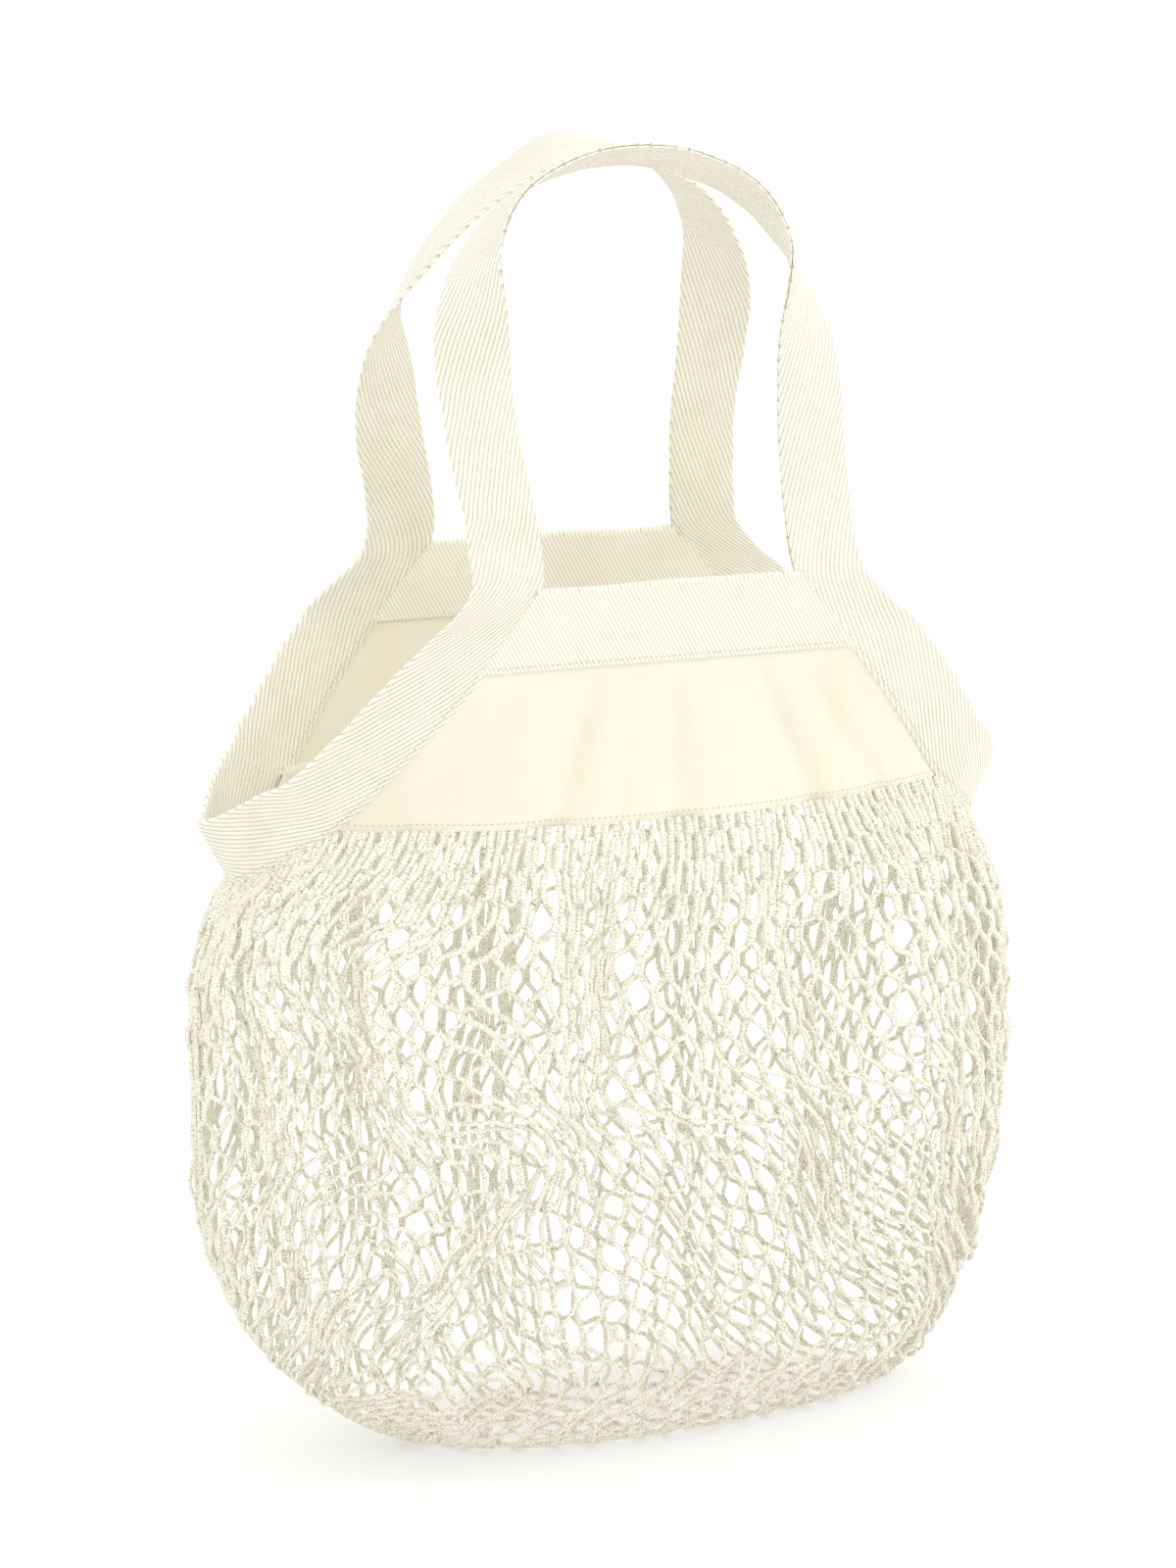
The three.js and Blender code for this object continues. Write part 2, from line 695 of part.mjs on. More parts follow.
const front = 1;
const back = -1;
addPiece('net_body', netGeometry(), '#f3efdf');
addPiece('front_panel', panelGeometry(front), '#faf7ea');
addPiece('back_panel', panelGeometry(back), '#faf7ea');
addPiece('front_top_band', bandGeometry(front), '#f6f2e2');
addPiece('back_top_band', bandGeometry(back), '#f6f2e2');
addPiece('front_handle_tape', tapeGeometry(front), '#f1ecda');
addPiece('back_handle_tape', tapeGeometry(back), '#f1ecda');

export default bag;
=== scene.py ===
import math

import bpy
import numpy as np
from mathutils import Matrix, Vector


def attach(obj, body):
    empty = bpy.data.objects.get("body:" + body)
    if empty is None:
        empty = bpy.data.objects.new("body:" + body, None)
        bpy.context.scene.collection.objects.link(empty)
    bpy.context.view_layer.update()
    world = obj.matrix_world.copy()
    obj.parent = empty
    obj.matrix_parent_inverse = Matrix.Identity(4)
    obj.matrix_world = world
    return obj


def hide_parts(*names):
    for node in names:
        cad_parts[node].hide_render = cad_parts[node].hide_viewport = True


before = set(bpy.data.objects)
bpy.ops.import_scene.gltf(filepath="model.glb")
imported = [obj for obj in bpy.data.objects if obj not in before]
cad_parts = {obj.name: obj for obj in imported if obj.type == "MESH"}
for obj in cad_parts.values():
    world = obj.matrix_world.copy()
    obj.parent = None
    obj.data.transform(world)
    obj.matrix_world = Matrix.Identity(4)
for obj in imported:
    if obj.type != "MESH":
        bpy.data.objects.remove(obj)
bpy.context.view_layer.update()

# The two panels.
# Each is a trapezium of plain-weave undyed cotton. Its foot is turned in once and stitched over the
# top of the net, its slanted sides go into the folded tape and its top into the band.
hem_height = 0.298
mouth_length = 0.356
mouth_depth = 0.144
mouth_point = 1.2
side_dip = 0.028
panel_height = 0.102
panel_top_length = 0.118
panel_hem_length = 0.286
panel_top_spread = 0.134
panel_flattening = 1.6
panel_thickness = 0.0012
band_drop = 0.033
tape_width = 0.032
hem_turning = 0.010
hem_gap = 0.0016
panel_tuck = 0.006
fold_fade_up = 0.35
fold_share_at_hem = 0.7
fold_growth = 0.2
pucker_lengths = (0.0085, 0.0125, 0.019)
pucker_depth = 0.0005
pucker_reach = 0.22
turned_edge = 0.012
turned_bulge = 0.0004
slit_edge = 0.02
side_shift = 40
millimetres = 1000
sharp_edge = math.radians(55)
corner_angle = math.asin(panel_hem_length / mouth_length)
band_foot = 1 - band_drop / panel_height
front, back = 1, -1

# Soft folds of a panel: "across" runs from -1 to 1, "wide" is half a fold's width there, "press" is
# how far the cloth goes in, and "lean" how far the fold has moved across at the panel's top
panel_folds = [
    dict(across=-0.78, wide=0.06, press=0.0026, lean=0.10),
    dict(across=-0.56, wide=0.12, press=-0.0016, lean=0.06),
    dict(across=-0.38, wide=0.055, press=0.0048, lean=0.03),
    dict(across=0.02, wide=0.05, press=0.0040, lean=0.00),
    dict(across=0.22, wide=0.12, press=-0.0016, lean=-0.02),
    dict(across=0.50, wide=0.05, press=0.0042, lean=-0.05),
    dict(across=0.74, wide=0.06, press=0.0022, lean=-0.08),
]


def lerp(start, end, share):
    """The value that lies a share of the way from start to end."""
    return start + (end - start) * share


def smooth(share):
    """0 up to a share of 0, 1 from a share of 1, and an even S between them."""
    share = np.clip(share, 0, 1)
    return share * share * (3 - 2 * share)


def unit(vectors):
    """Vectors made one long. One without length stays zero."""
    lengths = np.linalg.norm(vectors, axis=-1, keepdims=True)
    return vectors / np.where(lengths > 0, lengths, 1)


def slow_waves(places, lengths, seed):
    """A gentle uneven wave along places, about -1 to 1, from sines of a few wavelengths."""
    starts = np.random.default_rng(seed).uniform(0, 2 * math.pi, len(lengths))
    waves = [np.sin(places * 2 * math.pi / length + start) for length, start in zip(lengths, starts)]
    return sum(waves) / len(lengths)


def mouth_edge(angle):
    """The sewing line round the mouth, from the middle of the front towards the right."""
    deep = np.cos(angle)
    side = np.abs(np.arcsin(np.clip(np.sin(angle), -1, 1)))
    share = np.clip((side - corner_angle) / (math.pi / 2 - corner_angle), 0, 1)
    return np.stack([
        np.sin(angle) * mouth_length / 2,
        -np.sign(deep) * np.abs(deep) ** mouth_point * mouth_depth / 2,
        hem_height - side_dip * np.sin(share * math.pi / 2),
    ], -1)


def panel_surface(across, up):
    """The middle of the front panel's cloth: across from -1 to 1, up from the hem at 0 to 1."""
    hem = mouth_edge(np.arcsin(np.clip(across * panel_hem_length / mouth_length, -1, 1)))
    flattened = 1 - (1 - np.clip(up / band_foot, 0, 1)) ** panel_flattening
    return np.stack([
        lerp(hem[..., 0], across * panel_top_length / 2, up),
        lerp(hem[..., 1], -panel_top_spread / 2, flattened),
        lerp(hem_height, hem_height + panel_height, up),
    ], -1)


def panel_press(across, up):
    """How far the soft folds and the puckers at the hem press the panel inward."""
    press = 0
    for fold in panel_folds:
        away = (across - fold["across"] - fold["lean"] * up) / fold["wide"]
        press = press + fold["press"] * np.exp(-away ** 2)
    puckers = slow_waves(across * panel_hem_length / 2, pucker_lengths, seed=11)
    press = press * smooth((band_foot - up) / fold_fade_up)
    press = press * lerp(fold_share_at_hem, 1, smooth(up / fold_growth))
    return press + pucker_depth * puckers * smooth((pucker_reach - up) / pucker_reach)


def on_panel(across, up, offset):
    """A point at a height above the panel's middle surface, on its outer side where positive."""
    step = 1e-4
    sideways = panel_surface(across + step, up) - panel_surface(across - step, up)
    upwards = panel_surface(across, up + step) - panel_surface(across, up - step)
    outward = unit(np.cross(sideways, upwards))
    return panel_surface(across, up) + outward * (offset - panel_press(across, up))[..., None]


def facing(points, side):
    """The back's pieces are the front's, turned half a turn about Z."""
    return points if side == front else points * np.array([-1, -1, 1])


def swept_piece(name, sections, marks, closed_ends=True):
    """One mesh from runs of closed sections. sections has the shape (runs, stations, corners, 3),
    and marks, which a material reads as the attribute "weave", the same shape."""
    runs, stations, corners, _ = sections.shape
    index = np.arange(runs * stations * corners).reshape(runs, stations, corners)
    turned = np.roll(index, -1, 2)
    quads = np.stack([index[:, :-1], turned[:, :-1], turned[:, 1:], index[:, 1:]], -1).reshape(-1, 4)
    loops, sizes = [quads.ravel()], [np.full(len(quads), 4)]
    if closed_ends:
        loops += [index[:, 0, ::-1].ravel(), index[:, -1].ravel()]
        sizes.append(np.full(2 * runs, corners))
    loops, sizes = np.concatenate(loops), np.concatenate(sizes)
    mesh = bpy.data.meshes.new(name)
    mesh.vertices.add(runs * stations * corners)
    mesh.vertices.foreach_set("co", sections.astype(np.float32).ravel())
    mesh.loops.add(len(loops))
    mesh.loops.foreach_set("vertex_index", loops.astype(np.int32))
    mesh.polygons.add(len(sizes))
    mesh.polygons.foreach_set("loop_start", (np.cumsum(sizes) - sizes).astype(np.int32))
    mesh.update(calc_edges=True)
    weave = mesh.attributes.new("weave", "FLOAT_VECTOR", "POINT")
    weave.data.foreach_set("vector", np.broadcast_to(marks, sections.shape).astype(np.float32).ravel())
    mesh.validate()
    mesh.shade_smooth()
    mesh.set_sharp_from_angle(angle=sharp_edge)
    piece = bpy.data.objects.new(name, mesh)
    bpy.context.scene.collection.objects.link(piece)
    return piece


def finish_piece(piece, finish, slot, *nodes):
    """Gives a piece its material, and says which plain solids it stands for. Its slot is not used."""
    piece.data.materials.append(finish.material)
    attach(piece, "root")
    if nodes:
        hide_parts(*nodes)
    return piece


class Shade:
    """A socket of a material, so that maths on it is written as it is said."""

    def __init__(self, finish, socket):
        self.finish = finish
        self.socket = socket

    def maths(self, operation, *values):
        inputs = dict(enumerate(values))
        return self.finish.node("ShaderNodeMath", {"operation": operation}, inputs)

    def __add__(self, other):
        return self.maths("ADD", self, other)

    def __sub__(self, other):
        return self.maths("SUBTRACT", self, other)

    def __rsub__(self, other):
        return self.maths("SUBTRACT", other, self)

    def __mul__(self, other):
        return self.maths("MULTIPLY", self, other)

    def __truediv__(self, other):
        return self.maths("DIVIDE", self, other)

    def __pow__(self, other):
        return self.maths("POWER", self, other)

    def __abs__(self):
        return self.maths("ABSOLUTE", self)

    __radd__ = __add__
    __rmul__ = __mul__

    def sine(self):
        return self.maths("SINE", self)

    def whole(self):
        return self.maths("FLOOR", self)

    def between(self, low, high):
        """0 below low, 1 above high and smooth between them."""
        settings = {"interpolation_type": "SMOOTHSTEP"}
        return self.finish.node("ShaderNodeMapRange", settings, {0: self, 1: low, 2: high})


class Finish:
    """A material of this bag: matt cotton, whose colour and relief its weave gives; part of that colour is
    painted shade.
    """

    def __init__(self, name, roughness, sheen):
        self.material = bpy.data.materials.new(name)
        self.material.use_nodes = True
        self.tree = self.material.node_tree
        self.shader = self.tree.nodes["Principled BSDF"]
        self.shader.inputs["Roughness"].default_value = roughness
        self.shader.inputs["Sheen Weight"].default_value = sheen
        self.shader.inputs["Sheen Roughness"].default_value = 0.6
        self.shader.inputs["Specular IOR Level"].default_value = 0.2

    def node(self, kind, settings, inputs, output=0):
        """Adds a node, sets it, fills its sockets and gives back one of its outputs."""
        node = self.tree.nodes.new(kind)
        for name, value in settings.items():
            setattr(node, name, value)
        for key, value in inputs.items():
            if isinstance(value, Shade):
                self.tree.links.new(value.socket, node.inputs[key])
            else:
                node.inputs[key].default_value = value
        return Shade(self, node.outputs[output])

    def mark(self):
        """The three numbers of the attribute "weave", and the whole vector."""
        vector = self.node("ShaderNodeAttribute", {"attribute_name": "weave"}, {}, "Vector")
        parts = [self.node("ShaderNodeSeparateXYZ", {}, {0: vector}, part) for part in range(3)]
        return *parts, vector

    def noise(self, vector, size, detail, stretch=(1, 1, 1)):
        """Cloudy noise of about a size, in the units of the vector."""
        scaled = self.node("ShaderNodeVectorMath", {"operation": "MULTIPLY"}, {0: vector, 1: stretch})
        return self.node("ShaderNodeTexNoise", {}, {"Vector": scaled, "Scale": 1 / size, "Detail": detail})

    def mix(self, share, first, second):
        settings = {"data_type": "RGBA"}
        return self.node("ShaderNodeMix", settings, {"Factor": share, 6: first, 7: second}, 2)

    def place(self):
        """The point of the surface in the bag's own frame, in metres."""
        return self.node("ShaderNodeTexCoord", {}, {}, "Object")

    def apply_colour_and_relief(self, colour, height, depth):
        """Links the colour, and the relief in metres over depth, to the shader."""
        bump = self.node("ShaderNodeBump", {}, {"Height": height, "Strength": 1.0, "Distance": depth})
        self.tree.links.new(colour.socket, self.shader.inputs["Base Color"])
        self.tree.links.new(bump.socket, self.shader.inputs["Normal"])


panel_light = (0.845, 0.805, 0.685, 1)
panel_shade = (0.82, 0.765, 0.60, 1)
panel_thread = 0.55
slub_size = 0.9
slub_stretch = 0.06
panel_cloud = 24
panel_relief = 0.00012


def panel_finish():
    """Plain weave: fine threads over and under each other, with slubs and a soft uneven tone, whose
    vertical streaks are partly the cloth's own and partly painted shade of its soft folds.
    """
    finish = Finish("panel_cotton", 0.9, 0.15)
    across, up, _, vector = finish.mark()
    warp = (across * (2 * math.pi / panel_thread)).sine()
    weft = (up * (2 * math.pi / panel_thread)).sine()
    threads = warp * weft * 0.5 + 0.5
    slubs = (finish.noise(vector, slub_size, 2, (1, slub_stretch, 1))
             + finish.noise(vector, slub_size, 2, (slub_stretch, 1, 1)))
    # Painted shade: the cloud runs in vertical streaks that stand in for the shade of soft folds, besides
    # the cloth's own uneven tone
    cloud = finish.noise(vector, panel_cloud, 2, (1, 0.12, 1))
    shade_and_tone = (slubs * 0.35 + cloud * 0.65).between(0.45, 0.95)
    colour = finish.mix(shade_and_tone, panel_light, panel_shade)
    finish.apply_colour_and_relief(colour, threads * 0.4 + slubs * 0.5, panel_relief)
    return finish


def panel_piece(name, side, finish):
    """The panel's sheet with its turned hem, as one closed section swept from side to side."""
    columns, levels, crowding = 180, 44, 0.9
    half = panel_thickness / 2
    turn_up = hem_turning / panel_height
    rise = np.linspace(0, 1, levels) ** crowding
    outer = [(half, up) for up in rise]
    inner = [(-half, up) for up in rise[::-1] if up > turn_up + slit_edge]
    inside = -half - hem_gap
    turning = [(-half, turn_up + turned_edge), (inside - turned_bulge, turn_up),
               (inside - half, turn_up - turned_edge)]
    turning += [(inside - half, up) for up in (0.06, 0.03, 0.0)]
    slit = [(inside, -0.002), (inside, 0.03), (inside, turn_up - slit_edge),
            (-half, turn_up - slit_edge)]
    slit += [(-half, 0.03), (-half * 0.7, -0.002), (half * 0.7, -0.004)]
    profile = np.array(outer + inner + turning + slit)
    offset, up = profile[:, 0][None], profile[:, 1][None]
    reach = 1 + panel_tuck / (lerp(panel_hem_length, panel_top_length, up) / 2)
    across = np.linspace(-1, 1, columns)[:, None] * reach
    across, up, offset = np.broadcast_arrays(across, up, offset)
    points = facing(on_panel(across, up, offset), side)
    width = across * lerp(panel_hem_length, panel_top_length, up) / 2
    marks = np.stack([width, up * panel_height, offset], -1) * millimetres
    marks[..., 2] += side * side_shift
    piece = swept_piece(name, points[None], marks[None])
    finish_piece(piece, finish, "panel_cotton", name.replace("_cloth", ""))
    return piece


panel_cotton = panel_finish()
front_panel_cloth = panel_piece("front_panel_cloth", front, panel_cotton)
back_panel_cloth = panel_piece("back_panel_cloth", back, panel_cotton)

# The two bands.
# Each is the same kind of twill tape folded over a panel's top edge, and stitched through
# along its lower edges.
band_thickness = 0.0011
band_gap = 0.0002
tape_light = (0.92, 0.882, 0.765, 1)
tape_shade = (0.50, 0.445, 0.30, 1)
rib_pitch = 2.0
bead_pitch = 1.35
rib_lean = math.radians(20)
bead_shift = 0.37
fuzz_size = 0.7
# Size of the random specks that make the painted shade in the twill's grooves uneven
shade_speck_size = 0.55
tape_cloud = 26
band_rib_pitch = 1.7
band_rib_lean = math.radians(62)
band_relief = 0.0003
# How strongly the band's twill grooves and bead gaps are darkened with painted shade
band_groove_shade = 1.2
band_tuck_share = 0.6
foot_round = 0.0002
ripple_depth = 0.0003
top_wave_depth = 0.0005


def twill_finish(name, pitch, lean, depth, painted_shade):
    """Twill: slanting ribs made of small beads, each where a thread passes over the others, with painted
    shade in the grooves and between the beads.
    """
    finish = Finish(name, 0.88, 0.2)
    along, wide, _, vector = finish.mark()
    over = (wide * math.cos(lean) - along * math.sin(lean)) / pitch
    rib = over.whole()
    down = (along * math.cos(lean) + wide * math.sin(lean)) / bead_pitch + rib * bead_shift
    ridge = abs((over * math.pi).sine()) ** 0.8
    bead = (down * (2 * math.pi)).sine() * 0.5 + 0.5
    fuzz = finish.noise(vector, fuzz_size, 3)
    cloud = finish.noise(vector, tape_cloud, 3)
    height = ridge * (bead * 0.45 + 0.55) + fuzz * 0.35
    shade_specks = finish.noise(vector, shade_speck_size, 1).between(0.40, 0.62)
    # Painted shade: the grooves between the ribs and the gaps between the beads are darkened, unevenly by
    # random specks; the faint cloud is the tape's own uneven tone
    shaded_groove = 1 - ridge.between(0.15, 0.8)
    shaded_pits = shaded_groove * ((1 - bead).between(0.3, 0.8) * 0.8 + 0.2)
    shade_and_tone = shaded_pits * painted_shade * (shade_specks * 0.7 + 0.4) + cloud.between(0.35, 0.85) * 0.12
    finish.apply_colour_and_relief(finish.mix(shade_and_tone, tape_light, tape_shade), height, depth)
    return finish


def band_piece(name, side, finish):
    """An upside-down U of tape over the panel's top edge, swept from side to side."""
    inner = panel_thickness / 2 + band_gap
    outer = inner + band_thickness
    top = 1 + band_gap / panel_height
    bend = np.linspace(0, math.pi, 9)
    lower = band_foot
    levels = np.linspace(lower + 0.008, top, 14)
    outside = [(outer, up) for up in levels]
    outside += [(outer * math.cos(a), top + outer * math.sin(a) / panel_height) for a in bend[1:-1]]
    outside += [(-outer, up) for up in levels[::-1]]
    foot = [(-outer + foot_round, lower), (-inner - foot_round, lower - 0.001), (-inner, lower + 0.004)]
    inside = [(-inner, top), (0, top + inner / panel_height), (inner, top)]
    other_foot = [(inner, lower + 0.004), (inner + foot_round, lower - 0.001), (outer - foot_round, lower)]
    profile = np.array(outside + foot + inside + other_foot)
    offset, up = profile[:, 0][None], profile[:, 1][None]
    level = np.minimum(up, 1)
    reach = 1 + panel_tuck * band_tuck_share / (lerp(panel_hem_length, panel_top_length, level) / 2)
    across = np.linspace(-1, 1, 120)[:, None] * reach
    across, up, offset, level = np.broadcast_arrays(across, up, offset, level)
    width = across * lerp(panel_hem_length, panel_top_length, level) / 2
    ripple = ripple_depth * slow_waves(width, (0.017, 0.031, 0.052), seed=21) * (level - lower)
    points = on_panel(across, level, offset + ripple)
    points[..., 2] += (up - level) * panel_height
    top_wave = top_wave_depth * slow_waves(width, (0.05, 0.08, 0.13), seed=22)
    points[..., 2] += top_wave * smooth((level - lower) / 0.2)
    around = np.sign(offset) * (1 - level) * panel_height
    marks = np.stack([width * millimetres, around * millimetres + 100,
                      offset * millimetres + side * 30], -1)
    piece = swept_piece(name, facing(points, side)[None], marks[None])
    node = "front_top_band" if side == front else "back_top_band"
    return finish_piece(piece, finish, "twill_tape", node)


band_twill = twill_finish("band_twill", band_rib_pitch, band_rib_lean, band_relief, band_groove_shade)
front_band_tape = band_piece("front_band_tape", front, band_twill)
back_band_tape = band_piece("back_band_tape", back, band_twill)

# The binding tape and handles.
# One long twill tape, folded lengthwise, takes in the slanted sides of the panels and the net's
# edge at the side folds. It runs on past the panels' tops as the two arched handles.
tape_thickness = 0.003
tape_side_lean = math.radians(33)
handle_rise = 0.181
leg_spread = 0.156
crest_spread = 0.054
front_handle_lean = 0.004
back_handle_lean = 0.008
lean_rise = 0.4
seam_gap = 0.0003
fold_round = 0.008
corner_evening = 9
wide_evening = 45
fold_reach = 0.002
fold_reach_fade = 0.01
tape_layer = 0.00105
layer_gap = 0.00062
sewn_gap = 0.00008
slit_depth = 0.007
sewn_run = 0.196
sewn_fade = 0.012
layer_wave = 0.00018
cup_depth = 0.0011
edge_wave = 0.0005
tape_relief = 0.0004
# How strongly the handle tape's twill grooves and bead gaps are darkened with painted shade
tape_groove_shade = 1.4

# One leg of a handle from the panel's top corner to the middle of the arch. "rise" is a share of
# the handle's rise, "out" a share of half the spread of the legs, and "twist" the degrees by
# which the tape has turned. "front_twist" is that of both legs of the front's handle. The back's
# left leg, with the "sloped" columns, slopes and turns over sooner.
handle_leg = [
    dict(rise=0.0, out=(panel_top_length + tape_width) / leg_spread, twist=0, front_twist=0,
         sloped_out=(panel_top_length + tape_width) / leg_spread, sloped_twist=0),
    dict(rise=0.10, out=0.945, twist=0, front_twist=0, sloped_out=0.955, sloped_twist=0),
    dict(rise=0.22, out=0.957, twist=0, front_twist=0, sloped_out=0.975, sloped_twist=0),
    dict(rise=0.35, out=0.985, twist=0, front_twist=0, sloped_out=1.005, sloped_twist=6),
    dict(rise=0.47, out=1.000, twist=6, front_twist=6, sloped_out=1.025, sloped_twist=24),
    dict(rise=0.57, out=1.000, twist=22, front_twist=22, sloped_out=1.015, sloped_twist=56),
    dict(rise=0.65, out=0.985, twist=42, front_twist=45, sloped_out=0.945, sloped_twist=74),
    dict(rise=0.725, out=0.955, twist=60, front_twist=66, sloped_out=0.835, sloped_twist=82),
    dict(rise=0.79, out=0.905, twist=73, front_twist=83, sloped_out=0.720, sloped_twist=87),
    dict(rise=0.87, out=0.785, twist=84, front_twist=97, sloped_out=0.540, sloped_twist=91),
    dict(rise=0.93, out=0.620, twist=92, front_twist=105, sloped_out=0.350, sloped_twist=96),
    dict(rise=0.972, out=0.390, twist=100, front_twist=109, sloped_out=0.190, sloped_twist=101),
    dict(rise=0.995, out=0.180, twist=105, front_twist=109, sloped_out=0.080, sloped_twist=105),
    dict(rise=1.00, out=0.0, twist=107, front_twist=109, sloped_out=0.0, sloped_twist=107),
]

# Creases across the front's left tape, where it bends from the panel's side into the handle: "at"
# is the way along from the left side fold, and "starts" the way across from the sewn edge
creases = [
    dict(at=0.190, wide=0.0030, deep=0.0016, slope=-0.25, starts=0.006),
    dict(at=0.203, wide=0.0045, deep=-0.0013, slope=-0.10, starts=0.002),
    dict(at=0.216, wide=0.0032, deep=0.0012, slope=0.20, starts=0.010),
]


def along_table(rows, names, place):
    """Smooth columns of a table at places between its rows."""
    values = np.array([[row[name] for name in names] for row in rows], float)
    last = len(rows) - 1
    index = np.clip(np.floor(place).astype(int), 0, last - 1)
    share = (place - index)[..., None]
    before, start, end, after = [values[np.clip(index + step, 0, last)] for step in (-1, 0, 1, 2)]
    leave, arrive, rise = (end - before) / 2, (after - start) / 2, end - start
    return (start + leave * share + (3 * rise - 2 * leave - arrive) * share ** 2
            + (leave + arrive - 2 * rise) * share ** 3)


panel_slope = (panel_hem_length - panel_top_length) / 2
slanted_wide = unit(np.array([panel_height, 0, panel_slope]))


def side_wide(angle):
    """The way from the sewn edge to the free edge, between the side fold and the panel's corner."""
    fold_end = mouth_edge(math.pi / 2) + tape_width * np.array(
        [math.sin(tape_side_lean), 0, math.cos(tape_side_lean)])
    corner_end = mouth_edge(corner_angle) + slanted_wide * tape_width
    share = ((math.pi / 2 - angle) / (math.pi / 2 - corner_angle))[:, None]
    free = lerp(fold_end, corner_end, share)
    away = np.abs(free[:, 1])
    slope = (fold_end[0] - corner_end[0]) / abs(corner_end[1])
    free[:, 0] += fold_reach * np.exp(-away / fold_reach_fade) - slope * (np.hypot(away, fold_round) - away)
    return unit(free - mouth_edge(angle))


def side_stations(count):
    """The sewn edge and the way across the tape, from the side fold to the panel's corner."""
    angle = lerp(math.pi / 2, corner_angle, np.arange(count) / count)
    return mouth_edge(angle), side_wide(angle)


def slanted_stations(count):
    """The same along the panel's slanted side, where the tape starts to turn upright."""
    up = np.arange(count) / count
    turned = lerp(0.3 * up, 1, smooth((up - 0.5) / 0.5))[:, None]
    return panel_surface(np.ones(count), up), unit(lerp(slanted_wide, np.array([1.0, 0, 0]), turned))


def leg_stations(count, out, twist, lean):
    """The same along one leg of a handle, up to the middle of the arch."""
    place = (len(handle_leg) - 1) * np.arange(1, count + 1) / count

    def centre(places):
        clipped = np.clip(places, 0, len(handle_leg) - 1)
        rise, outward = np.moveaxis(along_table(handle_leg, ["rise", out], clipped), -1, 0)
        return np.stack([
            outward * leg_spread / 2 + lean * smooth(rise / lean_rise),
            -lerp(panel_top_spread, crest_spread, rise) / 2,
            hem_height + panel_height + rise * handle_rise,
        ], -1)

    along = unit(centre(place + 0.02) - centre(place - 0.02))
    along[-1] = (-1, 0, 0)
    turned = np.radians(along_table(handle_leg, [twist], place))
    inward = np.array([0.0, 1, 0])
    wide = unit(np.cross(inward, along)) * np.cos(turned) + inward * np.sin(turned)
    wide = unit(wide - along * np.sum(wide * along, -1, keepdims=True))
    return centre(place) - wide * tape_width / 2, wide


def tape_line(side):
    """The whole tape of one side: its sewn edge and the way to its free edge, station by station."""
    lower = [side_stations(26), slanted_stations(56)]
    lean = -front_handle_lean if side == front else back_handle_lean
    names_of_halves = [("out", "front_twist")] * 2
    if side == back:
        names_of_halves = [("sloped_out", "sloped_twist"), ("out", "twist")]
    halves = []
    for names, leaning in zip(names_of_halves, (lean, -lean)):
        parts = lower + [leg_stations(96, *names, leaning)]
        halves.append([np.concatenate(column) for column in zip(*parts)])
    flip = np.array([-1, 1, 1])
    edge = np.concatenate([halves[0][0], halves[1][0][-2::-1] * flip])
    wide = np.concatenate([halves[0][1], halves[1][1][-2::-1] * flip])
    return edge, wide


def evened(line, passes):
    """Rounds the small corners where one stretch of the tape passes into the next."""
    for _ in range(passes):
        line[1:-1] = line[1:-1] * 0.5 + (line[:-2] + line[2:]) * 0.25
    return line


def tape_run(edge):
    """The distance along the tape's sewn edge, in metres."""
    steps = np.linalg.norm(np.diff(edge, axis=0), axis=1)
    return np.concatenate([[0], np.cumsum(steps)])


def tape_frame(side):
    """The evened tape: its sewn edge, the ways across and through it, and the run along it."""
    edge, wide = tape_line(side)
    edge = evened(edge, corner_evening)
    wide = unit(evened(wide, corner_evening))
    wide = unit(evened(wide, wide_evening))
    along = unit(np.gradient(edge, axis=0))
    thick = unit(np.cross(along, wide))
    return edge, wide, thick, tape_run(edge + wide * tape_width / 2)


